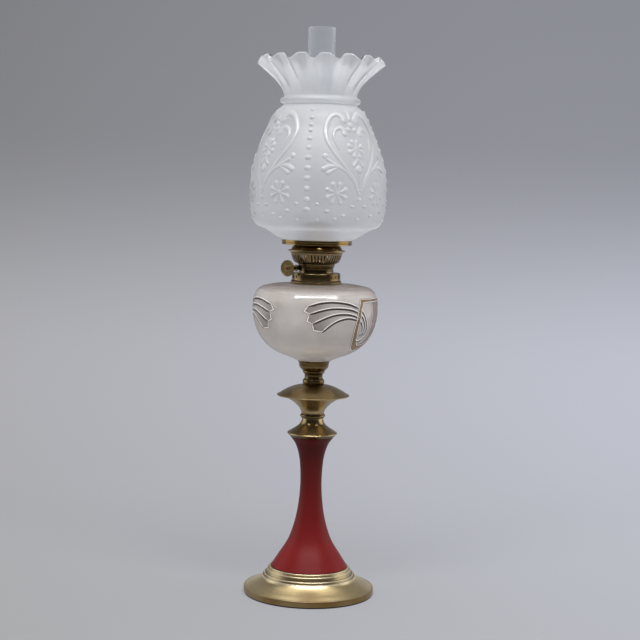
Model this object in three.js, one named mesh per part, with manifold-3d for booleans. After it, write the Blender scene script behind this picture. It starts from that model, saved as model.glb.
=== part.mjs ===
// A column lamp for kerosene: weighted foot, red column, glass font, round-wick burner, shade and chimney.
// Millimetres, +Z up. The origin is the middle of the lamp's underside, on the axis of the column.
// The winder knob points along -Y.

import * as THREE from 'three';
import { mergeVertices } from 'three/addons/utils/BufferGeometryUtils.js';
import Module from 'manifold-3d';

const wasm = await Module();
wasm.setup();

// Clearances
const gap = 0.3;
const parting = 0.1;
const overrun = 5;

// Foot, with its felt and its iron weight
const feltThickness = 1.2;
const feltMargin = 0.6;
const footRadius = 81.2;
const footRimHeight = 7.2;
const footHeight = 32.4;
const footSheet = 1.4;
const footLipMargin = 1.2;
const spigotInset = 6;
const spigotHeight = 2;
const weightMargin = 6;
const weightHubRadius = 26;
const recessRadius = 13;
const recessDepth = 8;

// Tie rod that clamps foot, column, bell, pan and spool together
const rodRadius = 3;
const nutRadius = 5.8;
const nutHeight = 3.6;
const washerRadius = 9;
const washerThickness = 1.5;
const rodTail = 1.2;

// Column
const columnFootRadius = 47.7;
const columnWaistRadius = 13.3;
const columnHeadRadius = 27.2;
const columnHeight = 163.4;
const columnWaistHeight = 108.2;
const columnWall = 1.5;

// Brass bell, bead, trumpet, pan and spool on top of the column
const bellTipRadius = 31.2;
const bellTipHeight = 4.6;
const bellNeckRadius = 12.8;
const bellHeight = 22.8;
const beadRadius = 15.7;
const beadEndRadius = 14.3;
const beadHeight = 6;
const trumpetFootRadius = 14;
const trumpetRimRadius = 39.5;
const panRadius = 45.2;
const panTopRadius = 12.4;
const panLift = 22.6;
const panRise = 13.4;
const spoolRadius = 13.7;
const spoolHeight = 16.3;
const brassSheet = 1.1;

// Cup under the font
const cupFootRadius = 14;
const cupLipRadius = 20.9;
const cupHeight = 12.8;

// Glass font
const fontRadius = 77.5;
const fontHeight = 95.1;
const fontWall = 3;
const fontMouthRadius = 27;
const fontShoulderDrop = 38.4;
const pegRadius = 16.3;

// Collar on the font, leather gasket and threaded burner cap
const collarBoreRadius = 25.2;
const flangeRadius = 31.7;
const flangeThickness = 2.8;
const sleeveDepth = 6;
const threadRadius = 27.9;
const threadHeight = 6.4;
const threadGap = 0.5;
const gasketRadius = 30.6;
const gasketThickness = 0.7;
const capRadius = 30.05;
const capHeight = 9.2;
const capChamfer = 1.6;
const capPlate = 1.5;

// Neck, air basket and gallery of the burner
const neckRadius = 21.4;
const neckFlare = 1.6;
const neckHeight = 10.2;
const burnerSheet = 0.8;
const basketFootRadius = 23.6;
const basketRimRadius = 32.1;
const basketHeight = 13.6;
const slotCount = 48;
const slotWidth = 1.7;
const slotHeight = 9.6;
const slotLift = 1.7;
const galleryLipRadius = 35.4;
const galleryHeight = 3.4;
const galleryPlate = 1;

// Wick, its two tubes and the air duct between them
const wickRadius = 12.2;
const wickThickness = 2.2;
const wickLength = 151;
const wickStand = 1;
const wickGap = 0.4;
const tubeWall = 0.6;
const tubeTail = 4;
const tubeHeight = 49.4;
const ductWidth = 6;
const ductHeight = 7;
const ductLift = 4;

// Winder: shaft, two spur wheels, gland and knob
const wheelRadius = 3.2;
const wheelToothDepth = 0.8;
const wheelTeeth = 10;
const wheelThickness = 1.6;
const wheelSpacing = 3.6;
const shaftRadius = 1.5;
const shaftTail = 3;
const glandRadius = 2.9;
const glandCollarRadius = 4;
const glandCollarThickness = 1.6;
const glandLength = 11;
const knobRadius = 10.1;
const knobThickness = 2;
const knobReach = 38.5;
const knobHubRadius = 3;
const knobHubLength = 3;
const rivetRadius = 2.4;
const rivetHeight = 1.1;

// Chimney and its fingered holder
const chimneyBaseRadius = 25.6;
const chimneyPinchRadius = 15.2;
const chimneyTopRadius = 16.5;
const chimneyHeight = 269.3;
const chimneyBaseHeight = 32;
const chimneyShoulderHeight = 25;
const chimneyWall = 1.6;
const holderHeight = 10.5;
const fingerCount = 12;
const fingerSlit = 1.4;
const fingerRoot = 3;

// Shade ring
const ringRadius = 43.55;
const ringRimHeight = 5.8;
const ringSheet = 0.95;
const ringLift = 6;
const ringSkirtRadius = 31.6;
const ringThroatRadius = 28.2;
const airHoleCount = 8;
const airHoleRadius = 4;
const airHoleSides = 8;

// Shade: blown and fluted frosted glass
const shadeRadius = 85.2;
const shadeWall = 2.6;
const fitterHeight = 4.8;
const fitterGap = 0.8;
const shadeBodyHeight = 164;
const shadeShoulderDrop = 76;
const shadeMouthDrop = 3.8;
const shadeNeckRadius = 44.8;
const bandRadius = 49.2;
const bandHeight = 10.6;
const frillRadius = 76;
const frillHeight = 44;
const fluteCount = 16;
const fluteDepth = 3.6;
const shadeTurn = -3.7;

// Facets round each kind of turned piece
const coarseSides = 16;
const mediumSides = 20;
const fineSides = 24;
const glassSides = 32;
const footSides = 36;
const shadeSides = fluteCount * 4;

// Finishes
const finishes = {
  felt: { color: 0x2b2622, roughness: 0.95, metalness: 0 },
  iron: { color: 0x3c3a38, roughness: 0.8, metalness: 0.6 },
  steel: { color: 0x8b8a86, roughness: 0.45, metalness: 0.9 },
  satinBrass: { color: 0xa59669, roughness: 0.35, metalness: 1 },
  redLacquer: { color: 0x73191e, roughness: 0.4, metalness: 0.1 },
  agedBrass: { color: 0x8a7035, roughness: 0.35, metalness: 1 },
  darkBrass: { color: 0x4c3f1f, roughness: 0.4, metalness: 1 },
  pearlGlass: { color: 0xd5d0c8, roughness: 0.25, metalness: 0 },
  leather: { color: 0x4a3323, roughness: 0.85, metalness: 0 },
  cotton: { color: 0xe3dcc8, roughness: 0.95, metalness: 0 },
  frostedGlass: { color: 0xe6e9eb, roughness: 0.55, metalness: 0 },
  clearGlass: { color: 0xf2f6f6, roughness: 0.05, metalness: 0, transparent: true, opacity: 0.35 },
};

const at = (radius, height) => new THREE.Vector2(radius, height);

const lamp = new THREE.Group();

// Points between two ends of an outline, each given as a share of the way out and of the way up.
function stretch(from, to, shares) {
  return shares.map(([out, up]) => at(
    THREE.MathUtils.lerp(from.x, to.x, out),
    THREE.MathUtils.lerp(from.y, to.y, up),
  ));
}

// The inner face of a wall whose outer face runs from the lowest point of the outline upwards.
function inset(outline, wall) {
  const inward = [];
  for (let index = 1; index < outline.length; index += 1) {
    const along = outline[index].clone().sub(outline[index - 1]).normalize();
    inward.push(at(-along.y, along.x));
  }
  return outline.map((point, index) => {
    const before = inward[Math.max(index - 1, 0)];
    const after = inward[Math.min(index, inward.length - 1)];
    const miter = before.clone().add(after).divideScalar(before.dot(after) + 1);
    return point.clone().addScaledVector(miter, wall);
  });
}

// Every other point of an outline that bulges, with both its ends: enough for the hollow side of a thick wall.
function sparse(outline) {
  return outline.filter((point, index) => index % 2 === 0 || index === outline.length - 1);
}

// The height at which an outline passes a radius.
function heightAt(outline, radius) {
  for (let index = 1; index < outline.length; index += 1) {
    const low = outline[index - 1];
    const high = outline[index];
    if ((low.x - radius) * (high.x - radius) <= 0 && low.x !== high.x) {
      return THREE.MathUtils.mapLinear(radius, low.x, high.x, low.y, high.y);
    }
  }
  throw new Error('the outline does not reach this radius');
}

// Shared corners only, without the flat triangles that a lathe leaves on its axis.
function welded(geometry) {
  geometry.deleteAttribute('normal');
  geometry.deleteAttribute('uv');
  const merged = mergeVertices(geometry);
  const corners = merged.index.array;
  const kept = [];
  for (let index = 0; index < corners.length; index += 3) {
    const [a, b, c] = corners.slice(index, index + 3);
    if (a !== b && b !== c && c !== a) {
      kept.push(a, b, c);
    }
  }
  merged.setIndex(kept);
  return merged;
}

// A turned piece: the outline goes round the Z axis and closes on itself, or starts and ends on the axis.
function turned(outline, sides) {
  const points = [...outline];
  if (points[0].x > 0) {
    points.push(points[0].clone());
  }
  if (THREE.ShapeUtils.area(points) < 0) {
    points.reverse();
  }
  const geometry = new THREE.LatheGeometry(points, sides);
  geometry.rotateX(Math.PI / 2);
  return welded(geometry);
}

// A plain ring between two radii and two heights.
function ring(inner, outer, low, high, sides) {
  return turned([at(inner, low), at(outer, low), at(outer, high), at(inner, high)], sides);
}

// A flat plate cut to a shape, lying at a height.
function plate(shape, low, thickness) {
  const geometry = new THREE.ExtrudeGeometry(shape, {
    depth: thickness, bevelEnabled: false, curveSegments: coarseSides,
  });
  geometry.translate(0, 0, low);
  return welded(geometry);
}

function solidOf(geometry) {
  const vertProperties = new Float32Array(geometry.attributes.position.array);
  const triVerts = new Uint32Array(geometry.index.array);
  return new wasm.Manifold(new wasm.Mesh({ numProp: 3, vertProperties, triVerts }));
}

function geometryOf(solid) {
  const { vertProperties, triVerts } = solid.getMesh();
  const geometry = new THREE.BufferGeometry();
  geometry.setAttribute('position', new THREE.BufferAttribute(vertProperties, 3));
  geometry.setIndex(new THREE.BufferAttribute(triVerts, 1));
  return geometry;
}

function cut(geometry, tools) {
  return geometryOf(tools.reduce((solid, tool) => solid.subtract(solidOf(tool)), solidOf(geometry)));
}

// The part of a piece that lies between two levels.
function band(geometry, low, high) {
  return geometryOf(solidOf(geometry).trimByPlane([0, 0, 1], low).trimByPlane([0, 0, -1], -high));
}

function block(width, depth, height, x, y, z) {
  const geometry = new THREE.BoxGeometry(width, depth, height);
  geometry.translate(x, y, z);
  return welded(geometry);
}

// A pin along Y, used for drilled holes across the burner.
function crossPin(radius, low, high, x, z) {
  const geometry = new THREE.CylinderGeometry(radius, radius, high - low, mediumSides);
  geometry.translate(x, (low + high) / 2, z);
  return welded(geometry);
}

function add(name, finish, geometry, parent = lamp) {
  geometry.computeVertexNormals();
  const mesh = new THREE.Mesh(geometry, new THREE.MeshStandardMaterial(finishes[finish]));
  mesh.name = name;
  parent.add(mesh);
  return mesh;
}

const rodHoleRadius = rodRadius + gap;

// Felt and foot. The foot is a spun dome with two fine fillets, a round and a lip under the column.
const footBottom = feltThickness + gap;
const footRimTop = footBottom + footRimHeight;
const footTop = footBottom + footHeight;
const footLipRadius = columnFootRadius + footLipMargin;
const footDomeShares = [
  [0.957, 0.036], [0.777, 0.139], [0.344, 0.456], [0.276, 0.552],
  [0.232, 0.631], [0.164, 0.694], [0.093, 0.885], [0.019, 0.933], [0, 1],
];
const footHollowShares = [[0.777, 0.139], [0.344, 0.456], [0.164, 0.694], [0, 1]];
const footDomeLow = at(footLipRadius, footRimTop);
const footDomeHigh = at(footRadius, footTop);
const footRim = [at(footRadius, footBottom), at(footRadius, footRimTop)];
const footSkin = [...footRim, ...stretch(footDomeLow, footDomeHigh, footDomeShares)];
const footHollow = inset([...footRim, ...stretch(footDomeLow, footDomeHigh, footHollowShares)], footSheet);
const footPlateBottom = footTop - footSheet;
footHollow[0].y = footBottom;
footHollow[footHollow.length - 1].y = footPlateBottom;
const spigotRadius = columnFootRadius - spigotInset;
const spigotTop = footTop + spigotHeight;
add('base_felt', 'felt', turned([
  at(0, 0), at(footRadius - feltMargin, 0), at(footRadius - feltMargin, feltThickness), at(0, feltThickness),
], fineSides));
add('foot', 'satinBrass', turned([
  ...footSkin,
  at(spigotRadius, footTop),
  at(spigotRadius, spigotTop),
  at(spigotRadius - footSheet, spigotTop),
  at(spigotRadius - footSheet, footTop),
  at(rodHoleRadius, footTop),
  at(rodHoleRadius, footPlateBottom),
  ...footHollow.reverse(),
], footSides));

// Cast iron weight, with a recess underneath for the washer and nut of the tie rod.
const weightRadius = footRadius - weightMargin;
const weightTop = footPlateBottom - gap;
const recessTop = footBottom + recessDepth;
const weightShares = [[1, 0], [1, 0.13], [0, 0.46], [0, 1]];
add('base_weight', 'iron', turned([
  at(recessRadius, footBottom),
  ...stretch(at(weightHubRadius, footBottom), at(weightRadius, weightTop), weightShares),
  at(rodHoleRadius, weightTop),
  at(rodHoleRadius, recessTop),
  at(recessRadius, recessTop),
], mediumSides));

const washerTop = recessTop - gap;
const washerBottom = washerTop - washerThickness;
const lowerNutTop = washerBottom - gap;
add('rod_washer', 'steel', ring(rodHoleRadius, washerRadius, washerBottom, washerTop, coarseSides));

// A hexagonal nut: six sides and a round hole.
function nut(low) {
  const shape = new THREE.Shape();
  for (let corner = 0; corner < 6; corner += 1) {
    const angle = (corner / 6) * Math.PI * 2;
    const x = nutRadius * Math.cos(angle);
    const y = nutRadius * Math.sin(angle);
    if (corner === 0) {
      shape.moveTo(x, y);
    } else {
      shape.lineTo(x, y);
    }
  }
  shape.holes.push(new THREE.Path().absarc(0, 0, rodHoleRadius, 0, Math.PI * 2, true));
  return plate(shape, low, nutHeight);
}
const lowerNutBottom = lowerNutTop - nutHeight;
add('rod_nut', 'steel', nut(lowerNutBottom));

// Column: a waisted tube that stands on the foot round the spigot.
const columnBottom = footTop + gap;
const columnTop = columnBottom + columnHeight;
const columnWaist = columnBottom + columnWaistHeight;
const columnRootShares = [[1, 0], [0.766, 0.118], [0.417, 0.296], [0.166, 0.53], [0.04, 0.766], [0, 1]];
const columnHeadShares = [[0.05, 0.3], [0.14, 0.51], [0.304, 0.687], [0.56, 0.85], [1, 1]];
const columnSkin = [
  ...stretch(at(columnWaistRadius, columnBottom), at(columnFootRadius, columnWaist), columnRootShares),
  ...stretch(at(columnWaistRadius, columnWaist), at(columnHeadRadius, columnTop), columnHeadShares),
];
const columnHollow = inset(columnSkin, columnWall);
columnHollow[0].y = columnBottom;
columnHollow[columnHollow.length - 1].y = columnTop;
add('column', 'redLacquer', turned([...columnSkin, ...columnHollow.reverse()], fineSides));

// Bell over the head of the column.
const bellBottom = columnTop + gap;
const bellTop = bellBottom + bellHeight;
const bellTip = at(bellTipRadius, bellBottom + bellTipHeight);
const bellNeck = at(bellNeckRadius, bellTop);
const bellShares = [[0, 0], [0.272, 0.181], [0.576, 0.374], [0.815, 0.582], [0.957, 0.857], [1, 1]];
const bellSkin = [at(columnHeadRadius, bellBottom), ...stretch(bellTip, bellNeck, bellShares)];
const bellHollow = inset(bellSkin, brassSheet);
bellHollow[0].y = bellBottom;
bellHollow[bellHollow.length - 1].y = bellTop - brassSheet;
add('column_cap', 'agedBrass', turned([
  ...bellSkin, at(rodHoleRadius, bellTop), at(rodHoleRadius, bellTop - brassSheet), ...bellHollow.reverse(),
], fineSides));

// Round bead on the rod.
const beadBottom = bellTop + gap;
const beadTop = beadBottom + beadHeight;
const beadShares = [[0, 0], [0.7, 0.15], [1, 0.5], [0.7, 0.85], [0, 1]];
add('neck_bead', 'darkBrass', turned([
  at(rodHoleRadius, beadBottom),
  ...stretch(at(beadEndRadius, beadBottom), at(beadRadius, beadTop), beadShares),
  at(rodHoleRadius, beadTop),
], coarseSides));

// Drip pan: a thin domed dish, and under it the trumpet that carries it.
const trumpetBottom = beadTop + gap;
const panTip = at(panRadius, trumpetBottom + panLift);
const panTop = panTip.y + panRise;
const panShares = [
  [0, 0], [0.088, 0.112], [0.241, 0.351], [0.43, 0.597], [0.619, 0.784], [0.808, 0.91], [1, 1],
];
const panSkin = stretch(panTip, at(panTopRadius, panTop), panShares);
const panHollow = inset(sparse(panSkin), brassSheet);
panHollow[panHollow.length - 1].y = panTop - brassSheet;
const trumpetTop = heightAt(panHollow, trumpetRimRadius) - gap - brassSheet;
const trumpetShares = [
  [0, 0], [0.047, 0.145], [0.161, 0.33], [0.329, 0.51], [0.5, 0.65], [0.671, 0.77], [1, 1],
];
const trumpetSkin = stretch(at(trumpetFootRadius, trumpetBottom), at(trumpetRimRadius, trumpetTop), trumpetShares);
const trumpetHollow = inset(trumpetSkin, brassSheet);
trumpetHollow[0].y = trumpetBottom + brassSheet;
add('pan_trumpet', 'agedBrass', turned([
  at(rodHoleRadius, trumpetBottom),
  ...trumpetSkin,
  ...trumpetHollow.reverse(),
  at(rodHoleRadius, trumpetBottom + brassSheet),
], fineSides));
add('drip_pan', 'agedBrass', turned([
  ...panSkin, at(rodHoleRadius, panTop), at(rodHoleRadius, panTop - brassSheet), ...panHollow.reverse(),
], fineSides));

// Spool between pan and font cup.
const spoolBottom = panTop + gap;
const spoolTop = spoolBottom + spoolHeight;
const spoolShares = [
  [0.905, 0], [0.956, 0.06], [0.993, 0.178], [0.934, 0.344], [0.847, 0.405],
  [0.818, 0.52], [0.854, 0.755], [0.964, 0.865], [1, 0.945], [0.985, 1],
];
add('spool', 'darkBrass', turned([
  at(rodHoleRadius, spoolBottom),
  ...stretch(at(0, spoolBottom), at(spoolRadius, spoolTop), spoolShares),
  at(rodHoleRadius, spoolTop),
], coarseSides));

// Cup for the peg of the font. The upper nut of the tie rod clamps its floor.
const cupBottom = spoolTop + gap;
const cupTop = cupBottom + cupHeight;
const cupFloor = cupBottom + brassSheet;
const cupShares = [[0, 0], [0.246, 0.148], [0.551, 0.344], [0.71, 0.734], [0.884, 0.93], [1, 1]];
const cupSkin = stretch(at(cupFootRadius, cupBottom), at(cupLipRadius, cupTop), cupShares);
const cupHollow = inset(cupSkin, brassSheet);
cupHollow[0].y = cupFloor;
cupHollow[cupHollow.length - 1].y = cupTop;
add('font_cup', 'darkBrass', turned([
  at(rodHoleRadius, cupBottom), ...cupSkin, ...cupHollow.reverse(), at(rodHoleRadius, cupFloor),
], coarseSides));
const upperNutBottom = cupFloor + gap;
const rodTop = upperNutBottom + nutHeight + rodTail;
const rodBottom = lowerNutBottom;
add('top_nut', 'steel', nut(upperNutBottom));
const rod = new THREE.CylinderGeometry(rodRadius, rodRadius, rodTop - rodBottom, coarseSides);
rod.rotateX(Math.PI / 2);
rod.translate(0, 0, (rodTop + rodBottom) / 2);
add('tie_rod', 'steel', welded(rod));

// Glass font with a peg in the cup and an open mouth.
const pegBottom = rodTop + gap;
const fontBottom = cupTop + gap;
const fontTop = fontBottom + fontHeight;
const fontShares = [
  [0.276, 0], [0.432, 0.053], [0.592, 0.104], [0.745, 0.183], [0.872, 0.302], [0.974, 0.497],
  [1, 0.68], [0.982, 0.837], [0.902, 0.935], [0.719, 0.981], [0.41, 1],
];
const fontSkin = stretch(at(0, fontBottom), at(fontRadius, fontTop), fontShares);
const fontHollow = inset(sparse(fontSkin), fontWall).slice(1, -1);
const fontCeiling = fontTop - fontWall;
const fontGlass = turned([
  at(0, pegBottom),
  at(pegRadius, pegBottom),
  at(pegRadius, cupTop - gap),
  ...fontSkin,
  at(fontMouthRadius, fontTop),
  at(fontMouthRadius, fontCeiling),
  ...fontHollow.reverse(),
  at(0, fontBottom + fontWall),
], glassSides);

// One blown glass, modelled as bowl and shoulder so that each keeps its hollow.
const fontShoulder = fontTop - fontShoulderDrop;
add('font', 'pearlGlass', band(fontGlass, pegBottom, fontShoulder - parting / 2));
add('font_shoulder', 'pearlGlass', band(fontGlass, fontShoulder + parting / 2, fontTop));

// Collar cemented in the mouth of the font, with a flange and an upstand that carries the thread.
const flangeBottom = fontTop + gap;
const flangeTop = flangeBottom + flangeThickness;
const threadTop = flangeTop + threadHeight;
const sleeveRadius = fontMouthRadius - gap;
add('font_collar', 'darkBrass', turned([
  at(collarBoreRadius, flangeBottom - sleeveDepth),
  at(sleeveRadius, flangeBottom - sleeveDepth),
  at(sleeveRadius, flangeBottom),
  at(flangeRadius, flangeBottom),
  at(flangeRadius, flangeTop),
  at(threadRadius, flangeTop),
  at(threadRadius, threadTop),
  at(collarBoreRadius, threadTop),
], mediumSides));

const capBoreRadius = threadRadius + threadGap;
const gasketBottom = flangeTop + gap;
const gasketTop = gasketBottom + gasketThickness;
add('collar_gasket', 'leather', ring(capBoreRadius, gasketRadius, gasketBottom, gasketTop, mediumSides));

// Burner cap: its skirt screws over the upstand, its plate carries the neck and the outer wick tube.
const tubeBore = wickRadius + wickGap;
const tubeRadius = tubeBore + tubeWall;
const tubeHoleRadius = tubeRadius + gap;
const capBottom = gasketTop + gap;
const capTop = capBottom + capHeight;
const capPlateBottom = capTop - capPlate;
add('burner_cap', 'darkBrass', turned([
  at(capBoreRadius, capBottom),
  at(capRadius, capBottom),
  at(capRadius, capTop - capChamfer),
  at(capRadius - capChamfer, capTop),
  at(tubeHoleRadius, capTop),
  at(tubeHoleRadius, capPlateBottom),
  at(capBoreRadius, capPlateBottom),
], mediumSides));

// Neck, drilled for the winder shaft and its gland.
const neckBottom = capTop + gap;
const neckTop = neckBottom + neckHeight;
const winderHeight = (neckBottom + neckTop) / 2;
const winderOffset = -(wickRadius + gap + wheelRadius);
const neckFlareShares = [[0, 0], [0, 0.5], [0.75, 0.8], [1, 1]];
const neckSkin = stretch(at(neckRadius, neckBottom), at(neckRadius + neckFlare, neckTop), neckFlareShares);
const neckHollow = inset(neckSkin, burnerSheet);
neckHollow[neckHollow.length - 1].y = neckTop;
const shaftBore = shaftRadius + gap;
const crossing = Math.sqrt(neckRadius ** 2 - winderOffset ** 2);
const neckReach = neckRadius + neckFlare + overrun;
add('burner_neck', 'darkBrass', cut(turned([...neckSkin, ...neckHollow.reverse()], mediumSides), [
  crossPin(glandRadius + gap, -neckReach, 0, winderOffset, winderHeight),
  crossPin(shaftBore, 0, neckReach, winderOffset, winderHeight),
]));

// Air basket with slots all round.
const basketBottom = neckTop + gap;
const basketTop = basketBottom + basketHeight;
const basketShares = [[0, 0], [0.3, 0.09], [0.93, 0.86], [1, 1]];
const basketSkin = stretch(at(basketFootRadius, basketBottom), at(basketRimRadius, basketTop), basketShares);
const basketHollow = inset(basketSkin, burnerSheet);
const basketBore = neckRadius - burnerSheet * 2;
const basketFloor = basketBottom + burnerSheet;
basketHollow[0].y = basketFloor;
basketHollow[basketHollow.length - 1].y = basketTop;
const slots = [];
for (let index = 0; index < slotCount / 2; index += 1) {
  const slot = block((basketRimRadius + overrun) * 2, slotWidth, slotHeight, 0, 0, 0);
  slot.rotateZ(((index + 0.5) / slotCount) * Math.PI * 2);
  slot.translate(0, 0, basketBottom + slotLift + slotHeight / 2);
  slots.push(slot);
}
add('air_basket', 'darkBrass', cut(turned([
  at(basketBore, basketBottom), ...basketSkin, ...basketHollow.reverse(), at(basketBore, basketFloor),
], mediumSides), slots));

// Gallery: a flared lip on the basket, with a plate inside for the chimney holder.
const galleryBottom = basketTop + gap;
const galleryTop = galleryBottom + galleryHeight;
const galleryBore = basketBore;
const galleryUnderside = galleryTop - galleryPlate;
const galleryLipShares = [[0, 0], [0.5, 0.38], [1, 0.68], [0.45, 1]];
add('gallery', 'darkBrass', turned([
  ...stretch(at(basketRimRadius, galleryBottom), at(galleryLipRadius, galleryTop), galleryLipShares),
  at(galleryBore, galleryTop),
  at(galleryBore, galleryUnderside),
  at(basketRimRadius - galleryPlate, galleryUnderside),
  at(basketRimRadius - galleryPlate, galleryBottom),
], fineSides));

// Outer wick tube, with a window for the spur wheels and one for the air duct.
const tubeBottom = capPlateBottom - tubeTail;
const tubeTop = neckTop + tubeHeight;
const ductMiddle = basketFloor + ductLift + ductHeight / 2;
const windowWidth = wheelSpacing + wheelThickness + gap * 2;
const windowHeight = (wheelRadius + gap) * 2;
const windowDepth = tubeRadius + overrun;
add('outer_wick_tube', 'agedBrass', cut(ring(tubeBore, tubeRadius, tubeBottom, tubeTop, coarseSides), [
  block(windowDepth, windowWidth, windowHeight, -windowDepth / 2, 0, winderHeight),
  block(windowDepth, ductWidth + gap * 2, ductHeight + gap * 2, windowDepth / 2, 0, ductMiddle),
]));

// Draught tube inside the wick, closed below, with a duct that brings air in from the basket.
const draughtRadius = wickRadius - wickThickness - wickGap;
const draughtBore = draughtRadius - tubeWall;
const draughtBottom = neckBottom + gap;
const draughtTop = tubeTop - wickStand;
const ductStart = draughtBore - tubeWall;
const ductMid = (ductStart + tubeRadius) / 2;
const draughtSolid = solidOf(turned([
  at(0, draughtBottom), at(draughtRadius, draughtBottom), at(draughtRadius, draughtTop), at(0, draughtTop),
], coarseSides));
const ductSolid = solidOf(block(tubeRadius - ductStart, ductWidth, ductHeight, ductMid, 0, ductMiddle));
const draughtBoreHeight = draughtTop - draughtBottom;
const draughtHollow = turned([
  at(0, draughtBottom + tubeWall),
  at(draughtBore, draughtBottom + tubeWall),
  at(draughtBore, draughtBottom + tubeWall + draughtBoreHeight),
  at(0, draughtBottom + tubeWall + draughtBoreHeight),
], coarseSides);
const ductHollow = block(
  tubeRadius + overrun, ductWidth - tubeWall * 2, ductHeight - tubeWall * 2,
  (tubeRadius + overrun) / 2, 0, ductMiddle,
);
add('draught_tube', 'agedBrass', cut(geometryOf(draughtSolid.add(ductSolid)), [draughtHollow, ductHollow]));

// Wick: cotton rolled round the draught tube, open along the side where the duct passes.
const wickTop = tubeTop + wickStand;
const wickBottom = wickTop - wickLength;
const wickBore = wickRadius - wickThickness;
const seamAngle = Math.asin((ductWidth / 2 + wickGap * 2) / wickBore);
const wickShape = new THREE.Shape();
wickShape.absarc(0, 0, wickRadius, seamAngle, Math.PI * 2 - seamAngle, false);
wickShape.absarc(0, 0, wickBore, Math.PI * 2 - seamAngle, seamAngle, true);
add('wick', 'cotton', plate(wickShape, wickBottom, wickLength));

// Winder. Its own frame has the shaft along +Z, away from the neck, and +Y up.
const winder = new THREE.Group();
winder.position.set(winderOffset, 0, winderHeight);
winder.rotation.x = Math.PI / 2;
lamp.add(winder);
const knobBack = knobReach - knobThickness;
const shaftEnd = knobReach - gap;
const shaftStart = -(crossing + shaftTail);
const shaft = new THREE.CylinderGeometry(shaftRadius, shaftRadius, shaftEnd - shaftStart, coarseSides);
shaft.rotateX(Math.PI / 2);
shaft.translate(0, 0, (shaftEnd + shaftStart) / 2);
add('winder_shaft', 'darkBrass', welded(shaft), winder);

// A spur wheel with pointed teeth that bite the cotton.
function spurWheel(middle) {
  const shape = new THREE.Shape();
  for (let index = 0; index < wheelTeeth * 2; index += 1) {
    const radius = index % 2 === 0 ? wheelRadius : wheelRadius - wheelToothDepth;
    const angle = (index / wheelTeeth) * Math.PI;
    const x = radius * Math.cos(angle);
    const y = radius * Math.sin(angle);
    if (index === 0) {
      shape.moveTo(x, y);
    } else {
      shape.lineTo(x, y);
    }
  }
  shape.holes.push(new THREE.Path().absarc(0, 0, shaftBore, 0, Math.PI * 2, true));
  return plate(shape, middle - wheelThickness / 2, wheelThickness);
}
add('spur_wheel_near', 'agedBrass', spurWheel(wheelSpacing / 2), winder);
add('spur_wheel_far', 'agedBrass', spurWheel(-wheelSpacing / 2), winder);

// Gland: a bush through the wall of the neck. It stays with the neck.
const glandFixing = new THREE.Group();
glandFixing.position.copy(winder.position);
glandFixing.rotation.copy(winder.rotation);
lamp.add(glandFixing);
const glandOuter = crossing + glandLength / 2;
add('shaft_gland', 'agedBrass', turned([
  at(shaftBore, glandOuter - glandLength),
  at(glandRadius, glandOuter - glandLength),
  at(glandRadius, glandOuter),
  at(glandCollarRadius, glandOuter),
  at(glandCollarRadius, glandOuter + glandCollarThickness),
  at(shaftBore, glandOuter + glandCollarThickness),
], coarseSides), glandFixing);

// Knob: a dished disc with a raised rim, riveted to the end of the shaft.
const knobFaceShares = [[1, 0], [1, 0.75], [0.94, 1], [0.86, 0.7], [0.4, 0.7], [0.32, 1]];
add('winder_knob', 'agedBrass', turned([
  at(shaftBore, knobBack - knobHubLength),
  at(knobHubRadius, knobBack - knobHubLength),
  at(knobHubRadius, knobBack),
  ...stretch(at(0, knobBack), at(knobRadius, knobReach), knobFaceShares),
  at(shaftBore, knobReach),
], mediumSides), winder);
const rivetShares = [[1, 0], [0.75, 0.7], [0, 1]];
add('knob_rivet', 'darkBrass', turned([
  at(0, knobReach + gap),
  ...stretch(at(0, knobReach + gap), at(rivetRadius, knobReach + gap + rivetHeight), rivetShares),
], coarseSides), winder);

// Chimney holder: a floor and a ring of spring fingers round the foot of the chimney.
const holderBottom = galleryTop + gap;
const holderFloor = holderBottom + burnerSheet;
const holderTop = holderBottom + holderHeight;
const holderBore = chimneyBaseRadius + gap;
const holderRadius = holderBore + burnerSheet;
const holderInner = chimneyBaseRadius - chimneyWall * 3;
const slits = [];
const slitHeight = holderHeight + overrun;
for (let index = 0; index < fingerCount / 2; index += 1) {
  const slit = block((holderRadius + overrun) * 2, fingerSlit, slitHeight, 0, 0, 0);
  slit.rotateZ((index / fingerCount) * Math.PI * 2);
  slit.translate(0, 0, holderBottom + fingerRoot + slitHeight / 2);
  slits.push(slit);
}
add('chimney_holder', 'darkBrass', cut(turned([
  at(holderInner, holderBottom),
  at(holderRadius, holderBottom),
  at(holderRadius, holderTop),
  at(holderBore, holderTop),
  at(holderBore, holderFloor),
  at(holderInner, holderFloor),
], mediumSides), slits));

// Shade ring: a cone that stands on the gallery, a plate with air holes and an upright rim.
const ringPlateBottom = holderBottom + ringLift;
const ringPlateTop = ringPlateBottom + ringSheet;
const ringTop = ringPlateBottom + ringRimHeight;
const ringBore = ringRadius - ringSheet;
const skirtShares = [[1, 0], [0.65, 0.42], [0, 0.85], [0, 1]];
const skirtSkin = stretch(at(ringThroatRadius, holderBottom), at(ringSkirtRadius, ringPlateBottom), skirtShares);
const skirtHollow = inset(skirtSkin, ringSheet);
skirtHollow[0].y = holderBottom;
skirtHollow[skirtHollow.length - 1].y = ringPlateTop;
const airHoles = [];
for (let index = 0; index < airHoleCount; index += 1) {
  const hole = new THREE.CylinderGeometry(airHoleRadius, airHoleRadius, ringSheet + overrun, airHoleSides);
  hole.rotateX(Math.PI / 2);
  hole.translate((ringThroatRadius + ringBore) / 2, 0, ringPlateBottom + ringSheet / 2);
  hole.rotateZ((index / airHoleCount) * Math.PI * 2);
  airHoles.push(welded(hole));
}
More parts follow.
